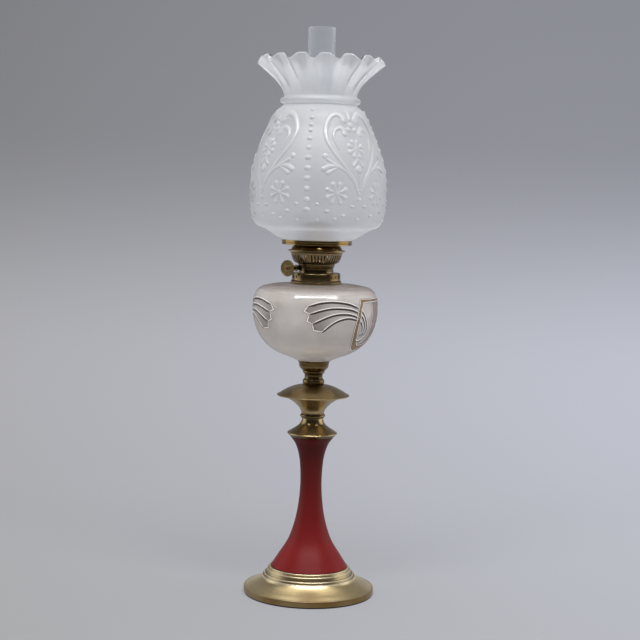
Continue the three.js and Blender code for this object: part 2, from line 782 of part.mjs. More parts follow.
add('shade_ring', 'agedBrass', cut(turned([
  ...skirtSkin,
  at(ringRadius, ringPlateBottom),
  at(ringRadius, ringTop),
  at(ringBore, ringTop),
  at(ringBore, ringPlateTop),
  ...skirtHollow.reverse(),
], fineSides), airHoles));

// Chimney: a wide foot in the fingers, a pinch above the wick and a long straight tube.
const chimneyBottom = holderFloor + gap;
const chimneyTop = chimneyBottom + chimneyHeight;
const shoulderBottom = chimneyBottom + chimneyBaseHeight;
const shoulderTop = shoulderBottom + chimneyShoulderHeight;
const shoulderShares = [[0, 0], [0.08, 0.22], [0.4, 0.5], [0.82, 0.78], [1, 1]];
const tubeSwellShares = [[0.9, 0.05], [1.35, 0.13], [1.15, 0.5], [1, 1]];
const chimneySkin = [
  at(chimneyBaseRadius, chimneyBottom),
  ...stretch(at(chimneyBaseRadius, shoulderBottom), at(chimneyPinchRadius, shoulderTop), shoulderShares),
  ...stretch(at(chimneyPinchRadius, shoulderTop), at(chimneyTopRadius, chimneyTop), tubeSwellShares),
];
const chimneyHollow = inset(chimneySkin, chimneyWall);
chimneyHollow[0].y = chimneyBottom;
chimneyHollow[chimneyHollow.length - 1].y = chimneyTop;
add('chimney', 'clearGlass', turned([...chimneySkin, ...chimneyHollow.reverse()], mediumSides));

// Shade: fitter in the ring, squared belly, waist with a round band, and a fluted mouth.
const shadeBottom = ringPlateTop + gap;
const fitterTop = shadeBottom + fitterHeight;
const fitterRadius = ringBore - fitterGap;
const bellyTop = fitterTop + shadeBodyHeight;
const frillBottom = bellyTop + bandHeight;
const shadeTop = frillBottom + frillHeight;
const bellyShares = [
  [0.756, 0.072], [0.916, 0.114], [0.978, 0.177], [1, 0.372], [0.982, 0.507],
  [0.893, 0.671], [0.769, 0.82], [0.644, 0.953],
];
const frillShares = [[0, 0.05], [0.11, 0.25], [0.37, 0.53], [1, 1]];
const bellySkin = stretch(at(0, fitterTop), at(shadeRadius, bellyTop), bellyShares);
const frillSkin = stretch(at(shadeNeckRadius, frillBottom), at(frillRadius, shadeTop), frillShares);
const shadeNeck = at(shadeNeckRadius, bellyTop);
const shadeFoot = [at(fitterRadius, shadeBottom), at(fitterRadius, fitterTop - gap), at(ringRadius, fitterTop + gap)];
const shadeSkin = [...shadeFoot, ...bellySkin, shadeNeck, at(bandRadius, bellyTop + bandHeight / 2), ...frillSkin];
const shadeHollow = inset([...shadeFoot, ...sparse(bellySkin), shadeNeck, ...sparse(frillSkin)], shadeWall);
shadeHollow[0].y = shadeBottom;
const shadeGlass = turned([...shadeSkin, ...shadeHollow.reverse()], shadeSides);

// The flutes push the mouth out and down, then in and up, more and more towards the rim.
const corner = new THREE.Vector3();
const places = shadeGlass.attributes.position;
for (let index = 0; index < places.count; index += 1) {
  corner.fromBufferAttribute(places, index);
  if (corner.z > frillBottom) {
    const wave = Math.cos(fluteCount * Math.atan2(corner.y, corner.x));
    const push = -fluteDepth * wave * ((corner.z - frillBottom) / frillHeight) ** 1.5 * Math.SQRT1_2;
    const radius = Math.hypot(corner.x, corner.y);
    places.setXYZ(index, corner.x * (1 + push / radius), corner.y * (1 + push / radius), corner.z - push);
  }
}
shadeGlass.rotateZ(THREE.MathUtils.degToRad(shadeTurn));

// One pressed glass, modelled as body, shoulder and mouth so that each keeps its hollow.
const shadeShoulder = bellyTop - shadeShoulderDrop;
const shadeMouth = bellyTop - shadeMouthDrop;
add('shade', 'frostedGlass', band(shadeGlass, shadeBottom, shadeShoulder - parting / 2));
add('shade_shoulder', 'frostedGlass', band(shadeGlass, shadeShoulder + parting / 2, shadeMouth - parting / 2));
add('shade_mouth', 'frostedGlass', band(shadeGlass, shadeMouth + parting / 2, shadeTop + overrun));

export default lamp;
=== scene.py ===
import math

import bmesh
import bpy
import numpy as np
from mathutils import Euler, Matrix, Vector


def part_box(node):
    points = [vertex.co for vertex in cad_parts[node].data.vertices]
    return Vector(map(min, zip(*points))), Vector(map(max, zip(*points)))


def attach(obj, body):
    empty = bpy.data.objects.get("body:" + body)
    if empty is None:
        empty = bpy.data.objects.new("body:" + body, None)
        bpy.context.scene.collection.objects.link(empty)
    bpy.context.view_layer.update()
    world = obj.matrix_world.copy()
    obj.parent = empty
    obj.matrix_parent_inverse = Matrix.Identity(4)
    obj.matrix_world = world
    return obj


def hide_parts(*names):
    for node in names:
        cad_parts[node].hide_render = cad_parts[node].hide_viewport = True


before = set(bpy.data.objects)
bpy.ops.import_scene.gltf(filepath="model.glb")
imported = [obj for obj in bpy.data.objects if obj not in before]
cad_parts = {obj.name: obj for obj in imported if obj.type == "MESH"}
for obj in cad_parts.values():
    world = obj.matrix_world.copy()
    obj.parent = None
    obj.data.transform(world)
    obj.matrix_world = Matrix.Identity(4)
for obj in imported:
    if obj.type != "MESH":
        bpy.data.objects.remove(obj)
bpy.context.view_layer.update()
mm = 0.001


# Felt. A disc of dark wool felt under the foot, glued to its rim and to the iron weight.
# It was stamped from sheet, so its edge is square and a little fuzzy.

def rounded(outline, radius, steps=3):
    """The same closed outline with its sharp corners rounded."""
    points = np.array(outline, float)
    made = []
    for k, here in enumerate(points):
        back, on = points[k - 1] - here, points[(k + 1) % len(points)] - here
        back_length, on_length = np.linalg.norm(back), np.linalg.norm(on)
        if min(back_length, on_length) < 1e-7:
            continue
        if here[0] < 1e-6 or back @ on < -0.9 * back_length * on_length:
            made.append(here)
            continue
        cut = min(radius, back_length * 0.45, on_length * 0.45)
        start, end = here + back / back_length * cut, here + on / on_length * cut
        for t in np.linspace(0, 1, steps + 1):
            made.append((1 - t) ** 2 * start + 2 * t * (1 - t) * here + t**2 * end)
    return np.array(made)


def linked(name, mesh):
    """A new object of the scene with this mesh."""
    piece = bpy.data.objects.new(name, mesh)
    bpy.context.scene.collection.objects.link(piece)
    return piece


def marked(mesh, name, values):
    """The mesh carries one value for each of its points, for its material to read."""
    mesh.attributes.new(name, "FLOAT", "POINT").data.foreach_set("value", np.asarray(values, np.float32).ravel())


def mesh_piece(name, points, faces, sharp=40):
    """An object made of these points and faces. Edges sharper than so many degrees stay sharp."""
    mesh = bpy.data.meshes.new(name)
    mesh.from_pydata([tuple(p) for p in points], [], [tuple(f) for f in faces])
    b = bmesh.new()
    b.from_mesh(mesh)
    bmesh.ops.remove_doubles(b, verts=b.verts, dist=1e-7)
    bmesh.ops.delete(b, geom=[v for v in b.verts if not v.link_faces], context="VERTS")
    bmesh.ops.recalc_face_normals(b, faces=b.faces)
    b.to_mesh(mesh)
    b.free()
    mesh.shade_smooth()
    mesh.set_sharp_from_angle(angle=math.radians(sharp))
    return linked(name, mesh)


def turned(name, outline, sides=128, reshape=None, sharp=40):
    """A turned piece. The outline of (radius, height) goes once round the section, or starts and ends on the axis."""
    outline = np.array(outline, float)
    angle = np.arange(sides) * 2 * np.pi / sides
    radius, height = outline[:, :1] * np.ones(sides), outline[:, 1:] * np.ones(sides)
    if reshape:
        radius, height = reshape(radius, height, angle)
    points = np.stack([radius * np.cos(angle), radius * np.sin(angle), height], -1).reshape(-1, 3)
    on_axis = outline[0, 0] < 1e-6 and outline[-1, 0] < 1e-6
    rows = len(outline) - 1 if on_axis else len(outline)
    row, column = np.meshgrid(np.arange(rows), np.arange(sides), indexing="ij")
    up, along = (row + 1) % len(outline), (column + 1) % sides
    faces = np.stack([row * sides + column, row * sides + along, up * sides + along, up * sides + column], -1)
    return mesh_piece(name, points, faces.reshape(-1, 4).tolist(), sharp)


class Surface:
    """A finish built up from shader nodes, in the lamp's own coordinates."""

    def __init__(self, name):
        self.material = bpy.data.materials.new(name)
        self.material.use_nodes = True
        self.tree = self.material.node_tree
        self.tree.nodes.clear()
        self.end = self.tree.nodes.new("ShaderNodeOutputMaterial")
        self.place = self.node("TexCoord").outputs["Object"]

    def node(self, kind, inputs=None, **settings):
        made = self.tree.nodes.new("ShaderNode" + kind)
        for name, value in settings.items():
            setattr(made, name, value)
        for name, value in (inputs or {}).items():
            if isinstance(value, bpy.types.NodeSocket):
                self.tree.links.new(value, made.inputs[name])
            elif made.inputs[name].type == "RGBA" and len(value) == 3:
                made.inputs[name].default_value = (*value, 1)
            else:
                made.inputs[name].default_value = value
        return made

    def math(self, operation, *values):
        return self.node("Math", dict(enumerate(values)), operation=operation).outputs[0]

    def noise(self, scale, detail=3, place=None, rough=0.55):
        inputs = {"Vector": place or self.place, "Scale": scale, "Detail": detail, "Roughness": rough}
        return self.node("TexNoise", inputs).outputs["Fac"]

    def round_place(self, across, along):
        """Coordinates for marks that run round the axis: radius and height, and a slow change along the mark."""
        parts = self.node("SeparateXYZ", {0: self.place}).outputs
        flat = self.node("CombineXYZ", {0: parts[0], 1: parts[1]}).outputs[0]
        radius = self.node("VectorMath", {0: flat}, operation="LENGTH").outputs["Value"]
        turn = self.math("SINE", self.math("ARCTAN2", parts[1], parts[0]))
        return self.node("CombineXYZ", {0: self.math("MULTIPLY", radius, across),
                                        1: self.math("MULTIPLY", parts[2], across),
                                        2: self.math("MULTIPLY", turn, along)}).outputs[0]

    def ramp(self, value, *stops):
        """A colour, or a grey, for each share of the value."""
        made = self.node("ValToRGB", {0: value})
        marks = made.color_ramp.elements
        while len(marks) < len(stops):
            marks.new(0.5)
        for mark, (share, colour) in zip(marks, stops):
            mark.position = share
            mark.color = (*colour, 1) if isinstance(colour, tuple) else (colour, colour, colour, 1)
        return made.outputs[0]

    def mix(self, share, a, b, blend="MIX"):
        return self.node("Mix", {0: share, 6: a, 7: b}, data_type="RGBA", blend_type=blend).outputs[2]

    def drawn_out(self, detail, across, along):
        """Noise stretched by different amounts across the axis and along it."""
        place = self.node("Mapping", {"Vector": self.place, "Scale": (across, across, along)}, vector_type="TEXTURE")
        return self.noise(1, detail, place.outputs[0])

    def height(self):
        return self.node("SeparateXYZ", {0: self.place}).outputs[2]

    def blend(self, share, one, other):
        """One shader giving way to another."""
        return self.node("MixShader", {0: share, 1: one, 2: other}).outputs[0]

    def edges(self):
        """0.5 on flat ground, less in hollows and more on edges."""
        return self.node("NewGeometry").outputs["Pointiness"]

    def bump(self, height, distance, strength=1.0, normal=None):
        inputs = {"Height": height, "Distance": distance, "Strength": strength}
        if normal:
            inputs["Normal"] = normal
        return self.node("Bump", inputs).outputs[0]

    def coat(self, colour, roughness, **more):
        inputs = {"Base Color": colour, "Roughness": roughness}
        inputs.update({name.replace("_", " "): value for name, value in more.items()})
        return self.node("BsdfPrincipled", inputs).outputs[0]

    def done(self, shader):
        self.tree.links.new(shader, self.end.inputs["Surface"])
        return self.material


def place(piece, body, slot, material, *nodes):
    """The piece moves with a body and stands for these CAD nodes."""
    piece.data.materials.append(material)
    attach(piece, body)
    if nodes:
        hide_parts(*nodes)
    return piece


low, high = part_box("base_felt")


def fuzzy(radius, height, angle):
    edge = radius > high.x * 0.98
    wander = np.sin(angle * 37) * np.sin(angle * 53 + 1) + np.sin(angle * 97)
    return radius - edge * (1.5 + wander) * 0.06 * mm, height


felt_outline = [(0, low.z), (high.x, low.z), (high.x, high.z), (0, high.z)]
felt = turned("felt_pad", rounded(felt_outline, 0.3 * mm), 180, fuzzy)
s = Surface("felt")
fibre = s.noise(1500, 4)
tuft = s.noise(160, 4)
s.done(s.coat(s.ramp(tuft, (0.3, (0.012, 0.010, 0.008)), (0.75, (0.034, 0.029, 0.024))), 0.95,
              Normal=s.bump(fibre, 0.4 * mm, 0.8), Sheen_Weight=0.3))
place(felt, "stand", "felt", s.material, "base_felt")


# Foot. Spun from brass sheet over a former: a rolled rim, a long hollow sweep, four fine beads and a lip.
# It was brushed on the lathe and lacquered, and has worn to a satin sheen with brown in the grooves.

def smooth(points, steps=6):
    """A smooth line through these points."""
    points = np.array(points, float)
    step = np.diff(points, axis=0)
    length = np.linalg.norm(step, axis=1)[:, None]
    slope = step / length
    middle = (slope[:-1] * length[1:] + slope[1:] * length[:-1]) / (length[:-1] + length[1:])
    slope = np.vstack([slope[:1], middle, slope[-1:]])
    t = np.linspace(0, 1, steps, endpoint=False)[:, None]
    runs = [(2 * t**3 - 3 * t**2 + 1) * points[k] + (t**3 - 2 * t**2 + t) * length[k] * slope[k]
            + (3 * t**2 - 2 * t**3) * points[k + 1] + (t**3 - t**2) * length[k] * slope[k + 1]
            for k in range(len(length))]
    return np.vstack([*runs, points[-1:]])


def arc(middle, radius, start, end, steps=8):
    """Part of a circle, from one angle to another in degrees."""
    angle = np.radians(np.linspace(start, end, steps))
    return np.stack([middle[0] + radius * np.cos(angle), middle[1] + radius * np.sin(angle)], -1)


def metal(name, bright, dull, roughness, lines=1400, stain=(0.03, 0.018, 0.007), hollow_dark=0.9, patches=32, depth=0.035,
          rubbed=None, below=None):
    """Metal finished on a lathe: fine lines round the axis, clouds of tarnish, darker hollows and rubbed edges."""
    s = Surface(name)
    marks = s.noise(1, 2, s.round_place(lines, 1.2))
    clouds = s.noise(patches, 6)
    specks = s.noise(900, 3)
    colour = s.mix(s.ramp(clouds, (0.35, 0.0), (0.68, 1.0)), bright, dull)
    # Where the surface folds inward, its colour is darkened towards the stain colour.
    colour = s.mix(s.math("MULTIPLY", s.ramp(s.edges(), (0.43, 1.0), (0.497, 0.0)), hollow_dark), colour, stain)
    colour = s.mix(s.math("MULTIPLY", s.ramp(specks, (0.62, 0.0), (0.74, 1.0)), 0.5), colour, stain)
    colour = s.mix(s.ramp(s.edges(), (0.505, 0.0), (0.54, 0.85)), colour,
                   rubbed or tuple(min(1, c * 1.7) for c in bright))
    # Below the given level the colour turns a darker brown: on the bell this is painted shade under its rolled tip.
    if below:
        level, brown = below
        low_down = s.math("LESS_THAN", s.height(), level)
        colour = s.mix(s.math("MULTIPLY", low_down, s.ramp(clouds, (0.2, 0.75), (0.7, 1.0))), colour, brown)
    rough = s.math("ADD", s.math("MULTIPLY", clouds, 0.16), s.math("MULTIPLY", marks, 0.1))
    rough = s.math("ADD", rough, roughness - 0.13)
    normal = s.bump(marks, depth * mm, 0.6, s.bump(specks, 0.02 * mm, 0.5))
    return s.done(s.coat(colour, rough, Metallic=1.0, Normal=normal, Specular_IOR_Level=0.5))


low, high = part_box("foot")
rim = high.x
sheet = 1.4 * mm
spigot = 41.7 * mm
top = high.z - 2 * mm
foot_skin = np.vstack([
    arc((rim - 0.5 * mm, low.z + 0.5 * mm), 0.5 * mm, -90, 0, 4),
    arc((rim - 0.5 * mm, low.z + 6.5 * mm), 0.5 * mm, 0, 80, 5),
    arc((rim - 1.1 * mm, low.z + 6.9 * mm), 0.4 * mm, 40, 150, 5),
    smooth([(rim - 1.9 * mm, low.z + 7.1 * mm), (rim - 7.2 * mm, low.z + 9.8 * mm),
            (rim - 13.2 * mm, low.z + 12.6 * mm),
            (rim - 18.2 * mm, low.z + 15.5 * mm), (rim - 21.4 * mm, low.z + 18.1 * mm),
            (rim - 22.9 * mm, top - 12.4 * mm)]),
    *[line for out, down, dip in ((23.6, 12.0, 1.2), (26.0, 9.0, 3.0), (29.6, 4.0, 1.9), (32.3, 0.85, 0.6))
      for line in (arc((rim - out * mm, top - down * mm), 0.85 * mm, -50, 130, 8),
                   [(rim - (out + dip * 0.45 + 0.4) * mm, top - (down + 0.2 - dip * 0.25) * mm)])][:-1],
    [(spigot, top), (spigot, high.z), (spigot - sheet, high.z), (spigot - sheet, top), (3.3 * mm, top),
     (3.3 * mm, top - sheet)],
    [(rim - 31 * mm, top - sheet), (rim - 30 * mm, top - 7 * mm), (rim - 25.2 * mm, top - 14.5 * mm),
     (rim - 9 * mm, low.z + 8 * mm), (rim - sheet, low.z + 6 * mm), (rim - sheet, low.z)],
])
foot = turned("foot_spinning", foot_skin, 216)
satin_brass = metal("satin_brass", (0.86, 0.70, 0.40), (0.66, 0.51, 0.27), 0.35, 1100, hollow_dark=0.5, patches=22,
                    rubbed=(0.98, 0.90, 0.70),
                    below=(low.z + 7 * mm, (0.25, 0.15, 0.05)))
place(foot, "stand", "satin_brass", satin_brass, "foot")


# Weight and tie rod. A rough iron casting fills the foot, and a threaded steel rod clamps the whole stem to it
# with a washer and two hexagonal nuts. None of it shows once the felt is on.

def coated(name, material):
    """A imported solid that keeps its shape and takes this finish."""
    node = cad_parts[name]
    node.data.materials.clear()
    node.data.materials.append(material)
    return node


s = Surface("cast_iron")
pits = s.noise(420, 5)
s.done(s.coat(s.ramp(s.noise(60, 5), (0.3, (0.030, 0.027, 0.025)), (0.7, (0.075, 0.055, 0.042))), 0.8,
              Metallic=0.5, Normal=s.bump(pits, 0.5 * mm, 0.8)))
coated("base_weight", s.material)
steel = metal("steel", (0.55, 0.54, 0.52), (0.34, 0.32, 0.30), 0.42, 2200)
for name in ("rod_washer", "rod_nut", "tie_rod", "top_nut"):
    coated(name, steel)


# Column. A waisted metal tube that stands round the spigot of the foot, held by the rod that runs through it.
# It was dipped in dark red lacquer and stoved; the lacquer is satin and a little cloudy, and it is painted darker
# towards the top as painted shade under the bell and drip pan.

def between(start, end, shares):
    """Points given as shares of the way out and of the way up."""
    (r0, z0), (r1, z1) = start, end
    return [(r0 + (r1 - r0) * out, z0 + (z1 - z0) * up) for out, up in shares]


low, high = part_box("column")
waist = (13.3 * mm, low.z + 108.2 * mm)
head = 27.2 * mm
column_skin = smooth(
    between((waist[0], low.z), (high.x, waist[1]),
            [(1, 0), (0.766, 0.118), (0.417, 0.296), (0.166, 0.53), (0.04, 0.766), (0, 1)])
    + between(waist, (head, high.z), [(0.05, 0.3), (0.14, 0.51), (0.304, 0.687), (0.56, 0.85), (1, 1)]), 10)
column_skin[:, 0] = np.minimum(column_skin[:, 0], high.x)
wall = 1.5 * mm
column_hollow = column_skin[::-4] - (wall, 0)
column = turned("column_tube", rounded(np.vstack([column_skin, column_hollow]), 0.5 * mm), 192)
s = Surface("red_lacquer")
height = s.height()
peel = s.noise(260, 3)
clouds = s.noise(24, 5)
red = s.mix(s.ramp(clouds, (0.3, 0.0), (0.7, 1.0)), (0.205, 0.012, 0.013), (0.155, 0.009, 0.010))
up = s.node("MapRange", {0: height, 1: low.z, 2: high.z, 3: 0.0, 4: 1.0}).outputs[0]
# Painted shade: the red darkens towards the top, under the bell and drip pan.
red = s.mix(s.ramp(up, (0.15, 0.0), (0.85, 1.0)), red, (0.075, 0.005, 0.004))
worn = s.math("MULTIPLY", s.ramp(s.edges(), (0.54, 0.0), (0.62, 1.0)),
              s.ramp(s.noise(300, 4), (0.45, 0.0), (0.6, 1.0)))
red = s.mix(worn, red, (0.30, 0.20, 0.09))
rough = s.math("ADD", s.math("MULTIPLY", clouds, 0.2), 0.34)
s.done(s.coat(red, rough, Normal=s.bump(peel, 0.05 * mm, 0.5), Specular_IOR_Level=0.14))
place(column, "stand", "red_lacquer", s.material, "column")


# Bell. A spun brass bell with a rolled tip, pulled down over the head of the column.
# Its lacquer has browned, and it is brighter where hands have rubbed the tip.

def shell(skin, wall):
    """The skin, and behind it the back of a wall of this thickness, as one closed outline."""
    skin = np.array(skin, float)
    along = np.gradient(skin, axis=0)
    along /= np.maximum(np.linalg.norm(along, axis=1)[:, None], 1e-9)
    back = skin + np.stack([-along[:, 1], along[:, 0]], -1) * wall
    back[:, 0] = np.maximum(back[:, 0], 0)
    return np.vstack([skin, back[::-1]])


aged_tones = (0.46, 0.345, 0.17), (0.29, 0.205, 0.095)
aged_edge = (0.62, 0.48, 0.26)
aged_brass = metal("aged_brass", *aged_tones, 0.30, 1500, rubbed=aged_edge)
dark_brass = metal("dark_brass", (0.19, 0.127, 0.047), (0.10, 0.064, 0.025), 0.24, 1700, rubbed=(0.50, 0.37, 0.19))
rod_hole = 3.3 * mm
brass_sheet = 1.1 * mm
low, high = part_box("column_cap")
tip = (high.x, low.z + 4.6 * mm)
bell_line = smooth(between(tip, (12.8 * mm, high.z),
                           [(0.03, 0.03), (0.272, 0.181), (0.576, 0.374), (0.815, 0.582), (0.957, 0.857), (1, 1)]),
                           8)
bell = turned("bell", rounded(np.vstack([
    [(head + 0.2 * mm, low.z), (tip[0] - 1.6 * mm, low.z + 2.4 * mm)],
    arc((tip[0] - 0.9 * mm, tip[1] - 0.6 * mm), 0.9 * mm, -50, 70, 6),
    bell_line, [(rod_hole, high.z), (rod_hole, high.z - brass_sheet)],
    bell_line[::-3] - (brass_sheet, brass_sheet * 0.8),
    [(head - brass_sheet, low.z)]]), 0.25 * mm), 144)
# Below its rolled tip the bell's underside is painted dark, as painted shade.
bell_brass = metal("bell_brass", *aged_tones, 0.30, 1500, rubbed=aged_edge,
                   below=(tip[1] - 1.1 * mm, (0.10, 0.062, 0.026)))
place(bell, "stand", "aged_brass", bell_brass, "column_cap")


# Bead. A small ring turned from brass bar, loose on the rod between bell and trumpet.
# Two fine grooves were cut beside its round, and they are darker than the round.

low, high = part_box("neck_bead")
end = 14.3 * mm
bead = turned("neck_ring", rounded(np.vstack([
    [(rod_hole, low.z), (end, low.z), (end, low.z + 0.7 * mm), (end - 0.6 * mm, low.z + 1.0 * mm)],
    smooth([(end - 0.2 * mm, low.z + 1.2 * mm), (high.x - 0.25 * mm, low.z + 2.0 * mm),
            (high.x, (low.z + high.z) / 2),
            (high.x - 0.25 * mm, high.z - 2.0 * mm), (end - 0.2 * mm, high.z - 1.2 * mm)], 5),
    [(end - 0.6 * mm, high.z - 1.0 * mm), (end, high.z - 0.7 * mm), (end, high.z), (rod_hole, high.z)]]),
    0.15 * mm), 112)
place(bead, "stand", "dark_brass", dark_brass, "neck_bead")


# Trumpet and drip pan. A flared brass socket, spun thin, carries a shallow domed pan that catches spilt kerosene.
# The pan's edge is left thin and sharp; heat and oil have browned both of them.

low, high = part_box("pan_trumpet")
trumpet_line = smooth(between((14 * mm, low.z), (high.x, high.z - 0.9 * mm),
                              [(0, 0), (0.047, 0.145), (0.161, 0.33), (0.329, 0.51), (0.5, 0.65), (0.671, 0.77),
                               (0.99, 1)]), 7)
trumpet = turned("pan_trumpet_spinning", rounded(np.vstack([
    [(rod_hole, low.z)], trumpet_line, trumpet_line[::-2] + (-brass_sheet * 0.6, brass_sheet * 0.8),
    [(rod_hole, low.z + brass_sheet)]]), 0.2 * mm), 144)
place(trumpet, "stand", "aged_brass", aged_brass, "pan_trumpet")

low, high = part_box("drip_pan")
pan_line = smooth(between((high.x, high.z - 13.4 * mm), (12.4 * mm, high.z),
                          [(0.002, 0.0), (0.088, 0.112), (0.241, 0.351), (0.43, 0.597), (0.619, 0.784),
                           (0.808, 0.91), (1, 1)]), 7)
pan_line[:, 0] = np.minimum(pan_line[:, 0], high.x)
pan = turned("drip_pan_spinning", rounded(np.vstack([
    pan_line, [(rod_hole, high.z), (rod_hole, high.z - brass_sheet)],
    pan_line[::-3] - (0.35 * mm, brass_sheet)]), 0.25 * mm), 160)
place(pan, "stand", "aged_brass", aged_brass, "drip_pan")


# Spool and font cup. A turned baluster lifts the font clear of the pan; a thin flared cup on it holds the glass peg.
# Both are brass, darker than the foot; the rod's upper nut sits on the floor of the cup.

low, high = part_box("spool")
spool_line = smooth(between((0, low.z), (high.x, high.z),
                            [(0.905, 0), (0.956, 0.06), (0.993, 0.178), (0.934, 0.344), (0.847, 0.405),
                             (0.818, 0.52),
                             (0.854, 0.755), (0.964, 0.865), (1, 0.945), (0.985, 1)]), 7)
spool_line[:, 0] = np.minimum(spool_line[:, 0], high.x)
spool = turned("spool_turning",
               rounded(np.vstack([[(rod_hole, low.z)], spool_line, [(rod_hole, high.z)]]), 0.2 * mm), 112)
place(spool, "stand", "dark_brass", dark_brass, "spool")

low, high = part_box("font_cup")
cup_line = smooth(between((14 * mm, low.z), (high.x, high.z),
                          [(0, 0), (0.246, 0.148), (0.551, 0.344), (0.71, 0.734), (0.884, 0.93), (1, 1)]), 6)
cup = turned("font_cup_spinning", rounded(np.vstack([
    [(rod_hole, low.z)], cup_line, cup_line[:6:-2] - (brass_sheet, 0),
    [(13.6 * mm, low.z + brass_sheet), (rod_hole, low.z + brass_sheet)]]), 0.2 * mm), 112)
place(cup, "stand", "dark_brass", dark_brass, "font_cup")


# Font. The fuel bowl: pearly grey glass blown in a mould, with a peg cemented in the cup and an open mouth on top.
# The glass is cloudy inside and polished by the flame outside.

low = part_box("font")[0]
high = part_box("font_shoulder")[1]
high.x = max(high.x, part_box("font")[1].x)
font_foot = high.z - 95.1 * mm
font_outer = high.x - 0.1 * mm
font_line = smooth(between((0, font_foot), (font_outer, high.z),
                           [(0.276, 0), (0.432, 0.053), (0.592, 0.104), (0.745, 0.183), (0.872, 0.302),
                            (0.974, 0.497),
                            (1, 0.68), (0.982, 0.837), (0.902, 0.935), (0.719, 0.981), (0.41, 1)]), 12)
font_line[:, 0] = np.minimum(font_line[:, 0], font_outer)
mouth = 27 * mm
peg = 16.3 * mm
glass_wall = 3 * mm
font_back = shell(font_line, glass_wall)[len(font_line):]
along = np.concatenate([[0], np.cumsum(np.linalg.norm(np.diff(font_line, axis=0), axis=1))])
fine = np.arange(0, along[-1], 0.6 * mm)
font_skin = np.stack([np.interp(fine, along, font_line[:, k]) for k in (0, 1)], -1)
edge_out = np.gradient(font_skin, axis=0)[:, ::-1] * [1, -1]
edge_out /= np.linalg.norm(edge_out, axis=1)[:, None]
mould_level = 379 * mm
mould_edge = 0.32 * mm * np.clip(1 - ((font_skin[:, 1] - mould_level) / (1.5 * mm)) ** 2, 0, 1)
font_skin += edge_out * np.where(font_skin[:, 0] > 50 * mm, mould_edge, 0)[:, None]
font = turned("font_glass", np.vstack([
    rounded([(0, low.z), (peg, low.z), (peg, font_foot - 0.6 * mm), (peg + 1.5 * mm, font_foot)], 0.8 * mm)[:-1],
    font_skin[:-2], arc((mouth + 1 * mm, high.z - 1 * mm), 1 * mm, 90, 180, 5),
    [(mouth, high.z - glass_wall)], font_back[10:-6:2], [(0, font_foot + glass_wall)]]), 240, sharp=60)
s = Surface("pearl_glass")
clouds = s.noise(14, 5)
streaks = s.drawn_out(4, 60, 9)
ripple = s.noise(55, 2)
milk = s.mix(s.ramp(clouds, (0.3, 0.0), (0.7, 1.0)), (0.60, 0.565, 0.53), (0.84, 0.84, 0.855))
height_up = s.height()
# Towards the mouth the milky colour darkens and more of the light goes through the glass.
near_mouth = s.node("MapRange", {0: height_up, 1: high.z - 12 * mm, 2: high.z - 2 * mm}).outputs[0]
milk = s.mix(near_mouth, milk, (0.34, 0.31, 0.30))
lustre = s.bump(ripple, 0.2 * mm, 0.3)
body = s.coat(milk, s.math("ADD", s.math("MULTIPLY", streaks, 0.10), 0.06), IOR=2.3, Normal=lustre)
glow = s.node("BsdfTranslucent", {"Color": (0.92, 0.87, 0.83)}).outputs[0]
body = s.blend(0.36, body, glow)
through = s.node("BsdfRefraction",
                 {"Color": (0.95, 0.92, 0.90), "Roughness": 0.14, "IOR": 1.12, "Normal": lustre}).outputs[0]
body = s.blend(s.ramp(near_mouth, (0.0, 0.40), (1.0, 0.62)), body, through)
passing = s.math("MULTIPLY", s.node("LightPath").outputs["Is Shadow Ray"], 0.5)
s.done(s.blend(passing, body, s.node("BsdfTransparent").outputs[0]))
place(font, "stand", "pearl_glass", s.material, "font", "font_shoulder")


# Ornament on the font. Trailed lines and fields of enamel in the common taste of about 1905, drawn by hand on the
# glass and fired. The lines are pale, outlined in dark enamel, and stand a little proud; under the feathers and curls
# the dark line is lowered below the pale one as a painted shadow. The wings are tinted at their tips, and the shield
# is edged in gold brown.

front = -52.5


def on_font(angle, z, lift):
    """A point over the glass at an angle right of the front, in degrees, and a height in millimetres."""
    side = font_line[(font_line[:, 1] > font_foot + 2 * mm) & (font_line[:, 1] < high.z - 0.5 * mm)]
    z = np.asarray(z) * mm
    radius = np.interp(z, side[:, 1], side[:, 0])
    slope = (np.interp(z + mm, side[:, 1], side[:, 0]) - np.interp(z - mm, side[:, 1], side[:, 0])) / (2 * mm)
    turn = np.radians(np.asarray(angle) + front)
    out = np.stack([np.cos(turn), np.sin(turn), -slope], -1) / np.sqrt(1 + slope**2)[..., None]
    return np.stack([radius * np.cos(turn), radius * np.sin(turn), z], -1) + out * lift, out


class Strokes:
    """Raised lines collected into one mesh."""

    def __init__(self):
        self.points, self.faces = [], []

    def add(self, path, width, height, curved=True, shadow_drop=0.0, sink=0.25 * mm):
        if curved:
            line = smooth(path, 10)
        else:
            line = np.vstack([np.linspace(path[k], path[k + 1], 8,
                                          endpoint=False) for k in range(len(path) - 1)] + [path[-1:]])
        # A lowered line sits below its path; a dark copy lowered so is a painted shadow under a pale line standing
        # proud.
        middle, out = on_font(line[:, 0], line[:, 1] - shadow_drop, 0)
        along = np.gradient(middle, axis=0)
        across = np.cross(out, along)
        across /= np.linalg.norm(across, axis=1)[:, None]
        thin = np.clip(np.minimum(np.arange(len(line)), np.arange(len(line))[::-1]) / 4, 0.45, 1)[:, None]
        section = [(-1, -1), (-1, 0), (-0.8, 0.6), (-0.4, 0.93), (0, 1), (0.4, 0.93), (0.8, 0.6), (1, 0), (1, -1)]
        first = len(self.points)
        rows = []
        for u, v in section:
            rise = height * v if v >= 0 else -sink
            rows.append(middle + across * (u * width / 2 * mm) * thin + out * rise * (thin if v > 0 else 1))
        count = len(section)
        self.points.extend(np.stack(rows, 1).reshape(-1, 3))
        for k in range(len(line) - 1):
            for j in range(count):
                a, b = first + k * count + j, first + k * count + (j + 1) % count
                self.faces.append((a, b, b + count, a + count))
        self.faces.append([first + j for j in range(count)])
        self.faces.append([first + (len(line) - 1) * count + j for j in reversed(range(count))])


